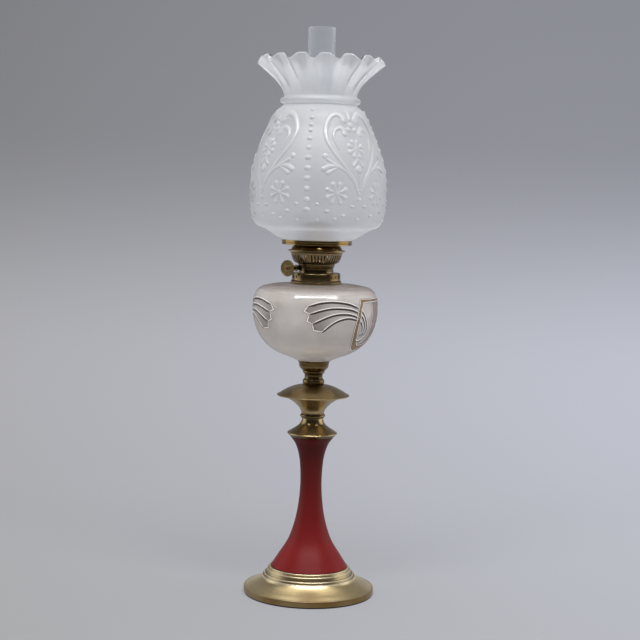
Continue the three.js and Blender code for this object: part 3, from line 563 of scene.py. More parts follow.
feathers = [
    [(-6, 366.5), (4, 370.5), (13, 372), (23, 371.4), (33, 369), (43, 364)],
    [(-5, 357), (5, 361.5), (14, 364), (24, 364.2), (34, 362.6), (44, 358)],
    [(-2.5, 345), (7, 351.5), (17, 356.3), (27, 357.6), (36, 356), (44, 352)],
    [(7, 335.5), (13, 343), (21, 349.5), (31, 352.5), (43, 349.5)],
]
tips = [
    [(-6, 366.5), (-10, 359.5), (-5, 357)],
    [(-5, 357), (-7, 347.5), (-2.5, 345)],
    [(-2.5, 345), (-1, 336.5), (7, 335.5)],
]
curls = [
    [(45.5, 362.5), (50.5, 356), (53.5, 350), (56.3, 343.5), (58, 336), (57, 328.5), (54, 324.5), (49, 323),
     (45.5, 325)],
    [(45.3, 356.5), (50, 350.5), (53, 343), (54.3, 336), (53, 330)],
    [(44.8, 350), (48.2, 345), (50.5, 339.5), (50.8, 334), (49, 330)],
]
left_outer = [(45, 374), (44.8, 371), (42.7, 361.5), (41.3, 349.5), (40.5, 343), (39.8, 337), (40.2, 331),
              (41.2, 324.5), (43.5, 317.5), (48, 312), (54, 310)]
left_inner = [(49, 370.3), (46.6, 361), (45.6, 349), (44.6, 343), (44.4, 337), (45.4, 330.5), (47.2, 324.5),
              (50, 319.5), (54, 316.5)]
right_inner = [(62.5, 370), (63.8, 360), (63.6, 348), (64.2, 341.5), (64, 335.5), (63.4, 330), (61.5, 325),
               (58, 321), (54, 319.5)]
right_outer = [(80, 370), (81.5, 358.5), (82.5, 345), (81, 334), (76.5, 325), (69.5, 319), (62, 317), (54, 316.5)]
right_edge = [(84, 373.7), (86, 358.5), (87, 345), (85.5, 333), (81, 322), (73, 314), (64, 310.4), (54, 310)]
shield_line = [
    [(45, 374), (51.5, 373.7), (61.5, 373.3), (72, 373.4), (84, 373.7)],
    [(49, 370.2), (55, 370), (62.5, 370), (71, 370), (80, 370)],
    left_outer, left_inner, right_inner, right_outer, right_edge,
]
wings = [
    (feathers[0][:4], [(-10, 359.5), (-5, 357), (5, 361.5), (14, 364), (24, 364.2)]),
    (feathers[1][:4], [(-7, 347.5), (-2.5, 345), (7, 351.5), (17, 356.3), (27, 357.6)]),
    (feathers[2][:4], [(-1, 336.5), (7, 335.5), (13, 343), (21, 349.5), (31, 352.5)]),
]
bands = [
    ([(45, 374), (51.5, 373.7), (61.5, 373.3), (84, 373.7)], [(49, 370.2), (55, 370), (62.5, 370), (80, 370)]),
    (left_outer, left_inner), (right_outer, right_edge),
]


def around(path):
    """A path and its copy on the far side of the bowl; the wings are mirrored in the shield between them as well."""
    for turn in (0, 180):
        yield [(angle + turn, z) for angle, z in path]
        if path[0][0] < 24:
            yield [(130 - angle + turn, z) for angle, z in path]


def field(name, areas, material, fade):
    """A thin coat of enamel between pairs of lines; its strength runs from one end to the other."""
    points, faces, strength = [], [], []
    length, width = 48, 10
    for upper, lower in areas:
        for one, two in zip(around(upper), around(lower)):
            a, b = smooth(one, 10), smooth(two, 10)
            a = a[np.linspace(0, len(a) - 1, length).astype(int)]
            b = b[np.linspace(0, len(b) - 1, length).astype(int)]
            share = np.linspace(0, 1, width)[:, None, None]
            grid = a * (1 - share) + b * share
            first = len(points)
            for lift in (0.06 * mm, -0.2 * mm):
                points.extend(on_font(grid[..., 0], grid[..., 1], lift)[0].reshape(-1, 3))
            strength.extend(np.tile(np.clip(np.linspace(*fade, length), 0, 1), width * 2))
            under = width * length
            for r in range(width - 1):
                for c in range(length - 1):
                    k = first + r * length + c
                    quad = [k, k + 1, k + length + 1, k + length]
                    faces.append(quad)
                    faces.append([q + under for q in reversed(quad)])
            edge = ([(0, c) for c in range(length)] + [(r, length - 1) for r in range(1, width)]
                    + [(width - 1, c) for c in range(length - 2, -1, -1)] + [(r, 0) for r in range(width - 2, 0,
                                                                                                   -1)])
            loop = [first + r * length + c for r, c in edge]
            faces.extend((k, on, on + under, k + under) for k, on in zip(loop, loop[1:] + loop[:1]))
    mesh = bpy.data.meshes.new(name)
    mesh.from_pydata([tuple(p) for p in points], [], faces)
    marked(mesh, "strength", strength)
    mesh.shade_smooth()
    return place(linked(name, mesh), "stand", "pearl_glass", material)


def enamel(name, light, dark, scale, cover=None):
    """Fired enamel, uneven in tone; with a cover share it is a wash that thins out."""
    s = Surface(name)
    paint = s.coat(s.mix(s.noise(scale, 4), light, dark), 0.4, Coat_Weight=0.3,
                   Normal=s.bump(s.noise(650, 3), 0.07 * mm, 0.6))
    if cover:
        amount = s.math("MULTIPLY", s.node("Attribute", attribute_name="strength").outputs["Fac"],
                        s.ramp(s.noise(110, 5), (0.25, cover * 0.7), (0.7, cover)))
        paint = s.blend(amount, s.node("BsdfTransparent").outputs[0], paint)
    return s.done(paint)


pale, dark_edge_and_shadow = Strokes(), Strokes()
for path in shield_line:
    for copy in around(path):
        dark_edge_and_shadow.add(copy, 2.0, 0.14 * mm)
        pale.add(copy, 0.95, 0.32 * mm)
# Under each feather and curl the dark line is lowered below the pale one: a painted shadow.
for path in feathers + curls:
    for copy in around(path):
        dark_edge_and_shadow.add(copy, 2.7, 0.2 * mm, shadow_drop=1.45)
        pale.add(copy, 1.15, 0.34 * mm)
for path in tips:
    for copy in around(path):
        dark_edge_and_shadow.add(copy, 2.6, 0.14 * mm, curved=False)
        pale.add(copy, 1.7, 0.32 * mm, curved=False)
place(mesh_piece("font_enamel_lines", pale.points, pale.faces), "stand", "pearl_glass",
      enamel("pale_enamel", (0.92, 0.90, 0.88), (0.82, 0.77, 0.74), 180))
place(mesh_piece("font_enamel_edging_and_shadow", dark_edge_and_shadow.points, dark_edge_and_shadow.faces), "stand", "pearl_glass",
      enamel("dark_enamel_and_shadow", (0.020, 0.014, 0.012), (0.062, 0.042, 0.034), 120))
field("font_enamel_wings", wings, enamel("wing_enamel", (0.15, 0.10, 0.095), (0.24, 0.17, 0.15), 90, 0.45),
      (1.0, -0.25))
field("font_enamel_side", [(right_inner, right_outer)],
      enamel("mauve_enamel", (0.24, 0.14, 0.13), (0.34, 0.22, 0.20), 90, 0.5), (0.8, 0.8))
field("font_enamel_bands", bands, enamel("gold_brown_enamel", (0.34, 0.19, 0.06), (0.20, 0.10, 0.035), 130, 0.9),
      (1.0, 1.0))


# Collar and gasket. A brass collar is cemented in the mouth of the font, with a milled flange and a screwed upstand.
# A leather ring lies on the flange under the burner.

def milled(count, depth, above, below, beyond):
    """Fine upright nicks round an edge, between two heights and outside a radius."""
    def reshape(radius, height, angle):
        edge = (height > below) & (height < above) & (radius > beyond)
        nick = np.clip(np.cos(angle * count), 0, 1) ** 2
        return radius - edge * nick * depth, height
    return reshape


low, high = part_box("font_collar")
flange = (low.z + 6 * mm, low.z + 8.8 * mm)
collar = turned("collar", rounded([
    (25.2 * mm, low.z), (26.7 * mm, low.z), (26.7 * mm, flange[0]), (high.x - 0.5 * mm, flange[0]),
    (high.x - 0.5 * mm, flange[0] + 0.5 * mm), (high.x, flange[0] + 0.6 * mm), (high.x, flange[1] - 0.6 * mm),
    (high.x - 0.5 * mm, flange[1] - 0.5 * mm), (high.x - 0.5 * mm, flange[1]), (27.9 * mm, flange[1]),
    *[(27.9 * mm - (0.35 * mm if k % 2 else 0), flange[1] + (0.6 + 0.45 * k) * mm) for k in range(12)],
    (27.5 * mm, high.z), (25.2 * mm, high.z)], 0.15 * mm), 720,
    milled(90, 0.45 * mm, flange[1] - 0.3 * mm, flange[0] + 0.3 * mm, high.x - 0.3 * mm))
place(collar, "stand", "dark_brass", dark_brass, "font_collar")

low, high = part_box("collar_gasket")
gasket = turned("gasket_ring", rounded([(28.5 * mm, low.z), (high.x, low.z), (high.x, high.z), (28.5 * mm, high.z)],
                                       0.2 * mm), 96)
s = Surface("leather")
s.done(s.coat(s.mix(s.noise(220, 5), (0.055, 0.030, 0.016), (0.11, 0.062, 0.034)), 0.8,
              Normal=s.bump(s.noise(900, 4), 0.1 * mm, 0.8)))
place(gasket, "gasket", "leather", s.material, "collar_gasket")


# Burner cap and neck. The cap screws over the collar and is pressed with a row of short bars for the fingers.
# The drawn neck stands on it and is drilled for the winder. Both are brass, browned by heat.

low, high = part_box("burner_cap")
bore = 28.4 * mm
chamfer = 1.6 * mm
bar_count = 24


def barred(radius, height, angle):
    turn = angle * bar_count / (2 * np.pi)
    within = np.abs(turn - np.round(turn)) < 0.18
    pressed = within & (radius > high.x - 0.3 * mm) & (height > low.z + 2.4 * mm) & (height < high.z - 2.6 * mm)
    return radius - pressed * 0.7 * mm, height


upright = np.linspace(low.z + 1.4 * mm, high.z - chamfer - 0.3 * mm, 14)
cap = turned("burner_cap_pressing", np.vstack([
    [(bore, low.z), (high.x - 0.3 * mm, low.z), (high.x, low.z + 0.3 * mm), (high.x, low.z + 0.9 * mm),
     (high.x - 0.4 * mm, low.z + 1.15 * mm)],
    [(high.x, z) for z in upright],
    arc((high.x - chamfer, high.z - chamfer), chamfer, 5, 88, 7),
    [(22.2 * mm, high.z), (21.8 * mm, high.z - 0.2 * mm), (13.5 * mm, high.z - 0.2 * mm),
     (13.5 * mm, high.z - 1.5 * mm), (bore, high.z - 1.5 * mm)],
    ]), 480, barred, sharp=30)
browned = metal("browned_brass", (0.105, 0.072, 0.030), (0.050, 0.034, 0.015), 0.27, 1700,
                rubbed=(0.32, 0.23, 0.12))
place(cap, "burner", "dark_brass", dark_brass, "burner_cap")


def pierced(name, outer, inner, sides, is_open, sharp=35, snap=None):
    """A sheet between two matching outlines, left open where is_open(angle, radius, height) says so."""
    outer, inner = np.array(outer, float), np.array(inner, float)
    angle = np.arange(sides) * 2 * np.pi / sides
    rows = len(outer)
    points = []
    for outline in (outer, inner):
        for radius, z in outline:
            x, y = radius * np.cos(angle), radius * np.sin(angle)
            if snap:
                x, y = snap(x, y, radius)
            points.append(np.stack([x, y, np.full(sides, z)], -1))
    points = np.concatenate(points)
    middle = angle + np.pi / sides
    full = np.zeros((rows + 1, sides), bool)
    for row in range(rows - 1):
        radius, z = (outer[row] + outer[row + 1]) / 2
        full[row + 1] = ~is_open(middle, radius, z)
    back = rows * sides
    faces = []
    for row in range(1, rows):
        for column in range(sides):
            if not full[row, column]:
                continue
            on = (column + 1) % sides
            a, b = (row - 1) * sides + column, (row - 1) * sides + on
            c, d = row * sides + on, row * sides + column
            faces += [(a, b, c, d), (a + back, d + back, c + back, b + back)]
            for one, two, beside in ((b, a, full[row - 1, column]), (d, c, full[row + 1, column]),
                                     (a, d, full[row, column - 1]), (c, b, full[row, on])):
                if not beside:
                    faces.append((one, two, two + back, one + back))
    return mesh_piece(name, points, faces, sharp)


low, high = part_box("burner_neck")
neck_line = smooth(between((21.4 * mm, low.z), (high.x, high.z), [(0, 0), (0, 0.5), (0.75, 0.8), (1, 1)]), 6)
winder_x = -15.7 * mm
winder_z = (low.z + high.z) / 2


def drilled(angle, radius, z):
    return (np.abs(radius * np.cos(angle) - winder_x) < 2.9 * mm) & (abs(z - winder_z) < 2.9 * mm)


neck = pierced("burner_neck_drawing", neck_line, neck_line - (0.8 * mm, 0), 192, drilled)
place(neck, "burner", "dark_brass", browned, "burner_neck")


# Air basket and gallery. The basket is a pressed brass bowl pierced with forty-eight slots that feed air to the flame.
# The gallery closes it with a flared lip, rolled over at the edge and bright from handling.

low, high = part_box("air_basket")
sheet = 0.8 * mm
basket_foot = 23.6 * mm
basket_bore = 19.8 * mm
slot = (low.z + 1.7 * mm, low.z + 11.3 * mm)
slot_count = 48
heights = np.concatenate([[low.z + 0.9 * mm], np.linspace(slot[0], slot[1], 9), [slot[1] + 0.6 * mm, high.z]])
basket_curve = smooth(between((basket_foot, low.z), (high.x, high.z), [(0, 0), (0.3, 0.09), (0.93, 0.86), (1, 1)]),
                      8)
basket_line = [(np.interp(z, basket_curve[:, 1], basket_curve[:, 0]), z) for z in heights]
basket_outer = np.array([(basket_bore, low.z), (basket_foot, low.z), *basket_line])
basket_inner = np.array([(basket_bore, low.z + sheet), (basket_foot - 0.2 * mm, low.z + sheet),
                         *[(r - sheet, z) for r, z in basket_line]])


def slotted(angle, radius, z):
    turn = (angle * slot_count / (2 * np.pi)) % 1
    return (np.abs(turn - 0.5) < 0.25) & (slot[0] < z < slot[1]) & (radius > basket_foot)


basket = pierced("air_basket_piercing", basket_outer, basket_inner, 192, slotted)
place(basket, "burner", "dark_brass", browned, "air_basket")

low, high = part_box("gallery")
gallery = turned("gallery_lip", rounded(np.vstack([
    [(31.1 * mm, low.z), (32.1 * mm, low.z)],
    smooth([(32.3 * mm, low.z + 0.15 * mm), (33.6 * mm, low.z + 1.1 * mm), (high.x, low.z + 2.0 * mm)], 5),
    arc((high.x - 0.55 * mm, low.z + 2.5 * mm), 0.55 * mm, -10, 120, 6),
    smooth([(34.2 * mm, low.z + 2.9 * mm), (33.4 * mm, high.z - 0.2 * mm), (32.6 * mm, high.z)], 4),
    [(basket_bore, high.z), (basket_bore, high.z - 1 * mm), (31.1 * mm, high.z - 1 * mm)]]), 0.12 * mm), 160)
place(gallery, "burner", "dark_brass", aged_brass, "gallery")


# Wick tubes. Two thin brass tubes, one inside the other, guide the round wick; the inner one is closed below
# and breathes through a square duct. Their ends at the flame are sooted.

sooted = metal("sooted_brass", (0.30, 0.20, 0.09), (0.10, 0.07, 0.04), 0.45, 1500)
low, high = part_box("outer_wick_tube")
tube_radius = 13.2 * mm
wheel_window = (403.9 * mm, 410.9 * mm)
duct_window = (417.0 * mm, 425.2 * mm)
tube_heights = [low.z, *wheel_window, *duct_window, 440 * mm, high.z]


def windows(angle, radius, z):
    across = radius * np.sin(angle)
    wheels = (np.cos(angle) < 0) & (np.abs(across) < 2.9 * mm) & (wheel_window[0] < z < wheel_window[1])
    duct = (np.cos(angle) > 0) & (np.abs(across) < 3.3 * mm) & (duct_window[0] < z < duct_window[1])
    return wheels | duct


outer_tube = pierced("outer_tube", [(tube_radius, z) for z in tube_heights],
                     [(tube_radius - 0.6 * mm, z) for z in tube_heights], 96, windows)
place(outer_tube, "burner", "aged_brass", sooted, "outer_wick_tube")
coated("draught_tube", sooted)


# Wick. A flat cotton wick rolled into a tube round the draught tube, open along the duct and hanging into the kerosene.
# It is woven like a heavy tape; the end at the flame is trimmed and a little charred.

low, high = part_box("wick")
wick_radius, wick_bore = 12.1 * mm, 10.1 * mm
seam = math.asin(3.8 / 10)
columns, rows = 150, 420
turn = np.linspace(seam, 2 * np.pi - seam, columns)
rise = np.linspace(low.z + 0.1 * mm, high.z - 0.3 * mm, rows)
angle, z = np.meshgrid(turn, rise)
weft, warp = 0.55, 0.9
weave = np.sin(angle * 12.1 / weft) * np.sin((z / mm) * np.pi / warp)
ragged = np.sin(angle * 31) * np.sin(angle * 47 + 0.6) * 0.25 * mm
z = z + ragged * np.clip((z - high.z + 2 * mm) / (2 * mm), 0, 1)
out = wick_radius - 0.12 * mm + weave * 0.12 * mm
inside = wick_bore + 0.12 * mm - weave * 0.12 * mm
points = np.concatenate([np.stack([r * np.cos(angle), r * np.sin(angle), z], -1).reshape(-1, 3) for r in (out,
                                                                                                          inside)])
index = np.arange(rows * columns).reshape(rows, columns)
back = rows * columns
quads = np.stack([index[:-1, :-1], index[:-1, 1:], index[1:, 1:], index[1:, :-1]], -1).reshape(-1, 4)
faces = quads.tolist() + (quads[:, ::-1] + back).tolist()
border = np.concatenate([index[0, :-1], index[:-1, -1], index[-1, :0:-1], index[:0:-1, 0]])
faces += [(a, b, b + back, a + back) for a, b in zip(border.tolist(), np.roll(border, -1).tolist())]
wick = mesh_piece("woven_wick", points, faces, 80)
s = Surface("cotton")
tip_share = s.node("MapRange", {0: s.height(), 1: high.z - 5 * mm,
                                2: high.z}).outputs[0]
cotton = s.mix(s.noise(300, 4), (0.66, 0.60, 0.48), (0.80, 0.76, 0.66))
cotton = s.mix(s.ramp(tip_share, (0.2, 0.0), (0.95, 1.0)), cotton, (0.03, 0.024, 0.02))
s.done(s.coat(cotton, 0.95, Sheen_Weight=0.2, Normal=s.bump(s.noise(2500, 3), 0.1 * mm, 0.7)))
place(wick, "wick", "cotton", s.material, "wick")


# Winder. A thin shaft with two toothed wheels lifts the wick; outside it carries a stamped brass knob.
# A small copper rivet holds the knob, and the shaft turns in a bush through the neck.

winder_spot = Matrix.Translation((winder_x, 0, winder_z)) @ Matrix.Rotation(math.pi / 2, 4, "X")


def along_winder(piece):
    """From the lathe's axis to the winder's."""
    piece.data.transform(winder_spot)
    return piece


for name in ("spur_wheel_near", "spur_wheel_far"):
    coated(name, sooted)

low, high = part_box("winder_shaft")
shaft = along_winder(turned("shaft",
                            rounded([(0, -high.y), (1.5 * mm, -high.y), (1.5 * mm, -low.y), (0, -low.y)], 0.3 * mm),
                            48))
winder_steel = metal("winder_steel", (0.09, 0.075, 0.055), (0.04, 0.032, 0.025), 0.4, 2500)
place(shaft, "winder", "dark_brass", winder_steel, "winder_shaft")

low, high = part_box("shaft_gland")
gland = along_winder(turned("gland", rounded([
    (1.8 * mm, -high.y), (2.9 * mm, -high.y), (2.9 * mm, -low.y - 1.6 * mm), (4 * mm, -low.y - 1.6 * mm),
    (4 * mm, -low.y), (1.8 * mm, -low.y)], 0.25 * mm), 64))
place(gland, "burner", "aged_brass", dark_brass, "shaft_gland")

low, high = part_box("winder_knob")
knob_radius = 10.1 * mm
knob_front = -low.y
knob_back = knob_front - 2 * mm


def stamped(radius, height, angle):
    face = (height > knob_front - 1.2 * mm) & (radius > 3.8 * mm) & (radius < 8.4 * mm)
    share = np.clip(1 - np.abs(radius - 6.1 * mm) / (2.3 * mm), 0, 1)
    height = height + face * (0.32 * mm * share * np.cos(angle * 12))
    rim = radius > knob_radius - 0.25 * mm
    return radius - rim * 0.22 * mm * (0.5 + 0.5 * np.cos(angle * 60)), height


knob_face = [(knob_radius, knob_back + 0.4 * mm), (knob_radius, knob_back + 1.4 * mm), (9.6 * mm, knob_front),
             (9.2 * mm, knob_front),
             (8.7 * mm, knob_front - 0.6 * mm),
             *[(r * mm, knob_front - 0.6 * mm) for r in np.linspace(8.3, 4.0, 14)],
             (3.6 * mm, knob_front - 0.5 * mm), (3.3 * mm, knob_front), (1.8 * mm, knob_front)]
knob = along_winder(turned("knob", rounded([
    (1.8 * mm, knob_back - 3 * mm), (3 * mm, knob_back - 3 * mm), (3 * mm, knob_back),
    (knob_radius - 0.4 * mm, knob_back),
    *knob_face], 0.12 * mm), 360, stamped))
knob_brass = metal("knob_brass", (0.24, 0.185, 0.075), (0.125, 0.094, 0.040), 0.45, 40)
place(knob, "winder", "aged_brass", knob_brass, "winder_knob")

low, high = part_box("knob_rivet")
rivet_foot = -high.y
rivet = along_winder(turned("rivet", np.vstack([
    [(0, rivet_foot), (2.3 * mm, rivet_foot)],
    smooth([(2.35 * mm, rivet_foot + 0.1 * mm), (1.9 * mm, rivet_foot + 0.7 * mm),
            (1.0 * mm, rivet_foot + 1.0 * mm),
            (0.3 * mm, rivet_foot + 1.08 * mm)], 5), [(0, rivet_foot + 1.09 * mm)]]), 48))
copper = metal("rivet_copper", (0.22, 0.08, 0.045), (0.12, 0.05, 0.03), 0.45, 40)
place(rivet, "winder", "dark_brass", copper, "knob_rivet")


# Chimney holder. A brass ring slit into twelve spring fingers that grip the foot of the chimney.
# It is riveted to the gallery, and heat has browned it.

low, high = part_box("chimney_holder")
holder_bore = 25.9 * mm
holder_inner = 20.8 * mm
finger_count = 12
holder_heights = [low.z + 1.5 * mm, low.z + 3 * mm, low.z + 6 * mm, high.z - 1 * mm]
holder_outer = [(holder_inner, low.z), (high.x - 0.3 * mm, low.z), *[(high.x, z) for z in holder_heights],
                (high.x - 0.1 * mm, high.z - 0.2 * mm), (high.x - 0.35 * mm, high.z)]
holder_inside = [(holder_inner, low.z + 0.8 * mm), (holder_bore, low.z + 0.8 * mm),
                 *[(holder_bore, z) for z in holder_heights],
                 (holder_bore, high.z - 0.4 * mm), (holder_bore + 0.05 * mm, high.z - 0.2 * mm)]


def slit(angle, radius, z):
    turn = (angle * finger_count / (2 * np.pi)) % 1
    return (np.minimum(turn, 1 - turn) < 0.05) & (z > low.z + 3 * mm)


holder = pierced("finger_ring", holder_outer, holder_inside, 240, slit)
place(holder, "burner", "dark_brass", dark_brass, "chimney_holder")


# Shade ring. A pressed brass ring that stands on the gallery: a cone, a plate with eight air holes and an upright rim
# that the foot of the shade drops into. The rim is polished, the plate below it has gone brown.

low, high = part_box("shade_ring")
sheet = 0.95 * mm
throat = 28.2 * mm
plate = low.z + 6 * mm
skirt = smooth(between((throat, low.z), (31.6 * mm, plate), [(1, 0), (0.65, 0.42), (0.05, 0.85), (0, 0.97)]), 5)
plate_radii = np.linspace(throat + 0.6 * mm, high.x - 0.5 * mm, 26)
rim_heights = [plate + 0.5 * mm, plate + 1.6 * mm, plate + 2.0 * mm, plate + 2.4 * mm, high.z - 0.9 * mm]
ring_outer = np.array([*skirt, *[(r, plate) for r in plate_radii], *[(high.x, z) for z in rim_heights[:1]],
                       (high.x - 0.25 * mm, rim_heights[1]), (high.x - 0.3 * mm, rim_heights[2]),
                       (high.x - 0.25 * mm, rim_heights[3]),
                       (high.x, rim_heights[4]), (high.x - 0.1 * mm, high.z - 0.2 * mm),
                       (high.x - 0.35 * mm, high.z)])
ring_inner = np.array([*(skirt - (sheet, -0.2 * mm)),
                       *[(min(r, high.x - sheet), plate + sheet) for r in plate_radii],
                       *[(high.x - sheet, max(z, plate + sheet)) for z in rim_heights],
                       (high.x - sheet, high.z - 0.3 * mm),
                       (high.x - sheet + 0.3 * mm, high.z)])
ring_inner[:len(skirt), 1] = np.minimum(ring_inner[:len(skirt), 1], plate + sheet)
hole_ring = (throat + high.x - sheet) / 2
hole_radius = 4 * mm
hole_spots = [(hole_ring * math.cos(k * math.pi / 4), hole_ring * math.sin(k * math.pi / 4)) for k in range(8)]


def holes(angle, radius, z):
    x, y = radius * np.cos(angle), radius * np.sin(angle)
    near = np.min([np.hypot(x - hx, y - hy) for hx, hy in hole_spots], axis=0)
    return (near < hole_radius) & (plate - 0.1 * mm < z < plate + 0.1 * mm)


def to_holes(x, y, radius):
    """Corners of the sheet near a hole move to its edge."""
    if not plate_radii[0] < radius < plate_radii[-1]:
        return x, y
    for hx, hy in hole_spots:
        away = np.hypot(x - hx, y - hy)
        close = np.abs(away - hole_radius) < 0.32 * mm
        scale = np.where(close, hole_radius / np.maximum(away, 1e-6), 1)
        x, y = hx + (x - hx) * scale, hy + (y - hy) * scale
    return x, y


shade_ring = pierced("shade_ring_pressing", ring_outer, ring_inner, 400, holes, snap=to_holes)
ring_brass = metal("ring_brass", (0.25, 0.165, 0.056), (0.14, 0.088, 0.032), 0.22, 1500, rubbed=(0.44, 0.31, 0.13))
place(shade_ring, "burner", "aged_brass", ring_brass, "shade_ring")


# Chimney. A clear glass tube blown with a wide foot, a pinch over the flame and a slight swell.
# Its ends are fire-polished, and its walls wave a little, as drawn glass does.

low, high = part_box("chimney")
foot_radius, pinch, top_radius = 25.6 * mm, 15.2 * mm, 16.5 * mm
shoulder = (low.z + 32 * mm, low.z + 57 * mm)
chimney_line = smooth(
    [(foot_radius, low.z), (foot_radius, low.z + 15 * mm)]
    + between((foot_radius, shoulder[0]), (pinch, shoulder[1]),
              [(0, 0), (0.08, 0.22), (0.4, 0.5), (0.82, 0.78), (1, 1)])
    + between((pinch, shoulder[1]), (top_radius, high.z), [(0.9, 0.05), (1.35, 0.13), (1.15, 0.5), (1, 1)]), 14)
chimney_line[:, 0] = np.minimum(chimney_line[:, 0], foot_radius)
chimney_back = shell(chimney_line, 1.6 * mm)[len(chimney_line):]
chimney_back[:, 1] = np.clip(chimney_back[:, 1], low.z, high.z)
chimney = turned("chimney_glass", rounded(np.vstack([chimney_line, chimney_back[::2]]), 0.7 * mm, 5), 144, sharp=80)
s = Surface("clear_glass")
waves = s.drawn_out(2, 38, 9)
dust = s.noise(240, 5)
glass = s.coat((0.99, 0.995, 1.0), s.ramp(dust, (0.45, 0.01), (0.9, 0.10)), Transmission_Weight=1.0, IOR=1.25,
               Normal=s.bump(waves, 0.2 * mm, 0.2))
bloom = s.node("BsdfTranslucent", {"Color": (0.80, 0.82, 0.86)}).outputs[0]
glass = s.blend(0.14, glass, bloom)
# A white diffuse layer that shows only at grazing angles: a painted highlight along the chimney's edges.
painted_edge_white = s.node("BsdfDiffuse", {"Color": (0.88, 0.89, 0.92)}).outputs[0]
turned_away = s.node("LayerWeight", {"Blend": 0.5}).outputs["Facing"]
s.done(s.blend(s.ramp(turned_away, (0.5, 0.01), (0.85, 0.36)), glass, painted_edge_white))
place(chimney, "chimney", "clear_glass", s.material, "chimney")


# Shade. Frosted glass pressed in a mould in four like panels, with strings of beads between them and a round band at
# the waist. Its mouth was crimped into sixteen flutes while hot, and the outside was etched to a fine white frost.

low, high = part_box("shade")
shade_radius = 85.15 * mm
fitter = 41.8 * mm
fitter_top = low.z + 4.8 * mm
belly_top = fitter_top + 164 * mm
neck_radius = 44.8 * mm
band = (49.2 * mm, 10.6 * mm)
frill_foot = belly_top + band[1]
relief_depth = 1.55 * mm
belly_skin = smooth(between((0, fitter_top), (shade_radius - relief_depth, belly_top),
                            [(0.60, 0.022), (0.756, 0.072), (0.916, 0.114), (0.972, 0.177), (0.993, 0.275),
                             (1, 0.372), (0.982, 0.507),
                             (0.893, 0.671), (0.769, 0.82), (0.644, 0.953)])
                    + [(neck_radius, belly_top)], 40)
belly_skin[:, 0] = np.minimum(belly_skin[:, 0], shade_radius - relief_depth)

# The relief of one half panel, from the string of beads to the middle of the flower.
half = 45
cells = 135
steps_up = np.concatenate([[0], np.cumsum(np.linalg.norm(np.diff(belly_skin, axis=0), axis=1))])
even = np.linspace(0, steps_up[-1], 400)
belly = np.stack([np.interp(even, steps_up, belly_skin[:, k]) for k in (0, 1)], -1)
turn = np.linspace(0, half, cells + 1)[None, :]
row_radius = (belly[:, 0] / mm)[:, None]
row_height = (belly[:, 1] / mm)[:, None]
x = np.radians(turn) * row_radius
relief = np.zeros((len(belly), cells + 1))


def knoll(angle, z, radius, height, tall=1.0):
    """A round boss."""
    global relief
    away = np.hypot((x - np.radians(angle) * row_radius) / radius, (row_height - z) / (radius * tall))
    relief = np.maximum(relief, height * np.sqrt(np.clip(1 - away**2, 0, 1)))


def trail(path, start, end, height, steps=8):
    """A raised line that swells from its start to its end, with a round tip."""
    global relief
    line = smooth(path, steps)
    count = len(line) - 1
    for k in range(count):
        ax, az = np.radians(line[k, 0]) * row_radius, line[k, 1]
        bx, bz = np.radians(line[k + 1, 0]) * row_radius, line[k + 1, 1]
        span = (bx - ax) ** 2 + (bz - az) ** 2
        t = np.clip(((x - ax) * (bx - ax) + (row_height - az) * (bz - az)) / np.maximum(span, 1e-9), 0, 1)
        away = np.hypot(x - ax - t * (bx - ax), row_height - az - t * (bz - az))
        share = (k + t) / count
        half_width = (start + (end - start) * share) / 2
        rise = height * (0.6 + 0.4 * share)
        relief = np.maximum(relief, rise * np.sqrt(np.clip(1 - (away / half_width) ** 2, 0, 1)))


def flower(angle, z, radius, petals, height, tip):
    """Petals about a boss, each a ridge that ends in a bead."""
    per_degree = math.radians(1) * np.interp(z * mm, belly[:, 1], belly[:, 0]) / mm
    for k in range(petals):
        a = 2 * math.pi * (k + 0.5) / petals
        out = [(angle + math.cos(a) * radius * share / per_degree,
                z + math.sin(a) * radius * share) for share in (0.25, 0.5, 0.78)]
        trail(out, 1.8, tip * 1.5, height * 0.85, 3)
        knoll(*out[-1], tip, height)
    knoll(angle, z, radius * 0.2, height * 0.8)


for z, radius in ((599, 2.7), (589.2, 2.9), (580.6, 2.7), (573.6, 2.6), (564.5, 3.4), (553.5, 3.7), (541.4, 3.9),
                  (529.1, 4.0),
                  (517.1, 4.0), (505, 4.0), (492.4, 4.0), (480.3, 3.8)):
    knoll(0, z, radius * 0.95, 1.54, 0.72)
trail([(44.5, 499), (42.3, 506), (40, 515), (34.8, 525.5), (27.8, 539), (20.8, 552), (16.8, 562), (15.3, 573),
       (17.6, 583.5), (22.8, 592),
       (30, 594.5), (36, 590)], 2.4, 7.2, 1.5)
knoll(36.6, 587.5, 4.6, 1.54)
trail([(27.5, 552), (24.5, 561), (23.3, 568), (26, 575.5), (31.5, 577.5), (35.3, 573)], 2.0, 6.2, 1.5)
knoll(35.4, 571.5, 3.9, 1.5)
trail([(41.8, 508), (37, 518), (32.6, 525.3), (24.5, 533), (17, 539.3)], 2.2, 3.8, 1.3)
knoll(14.4, 543.6, 3.2, 1.45)
trail([(31, 527), (24.5, 531.5), (18.5, 531.5), (13.6, 528)], 2.4, 6.4, 1.45)
trail([(25, 530), (20.5, 526.5), (17, 523.6)], 2.4, 5.0, 1.3)
trail([(45, 603), (45, 596), (45, 588)], 2.4, 4.4, 1.3)
knoll(45, 581.5, 3.4, 1.4)
knoll(41.4, 576, 2.8, 1.3)
flower(45, 553, 11.8, 8, 1.5, 2.9)
trail([(45, 541), (42.5, 536.5), (40.4, 533.5)], 1.8, 4.6, 1.3)
knoll(45, 528.6, 4.4, 1.5, 1.1)
trail([(45, 503), (45, 513), (45, 522)], 2.6, 2.0, 1.0)
flower(24.4, 500, 15, 8, 1.4, 2.6)
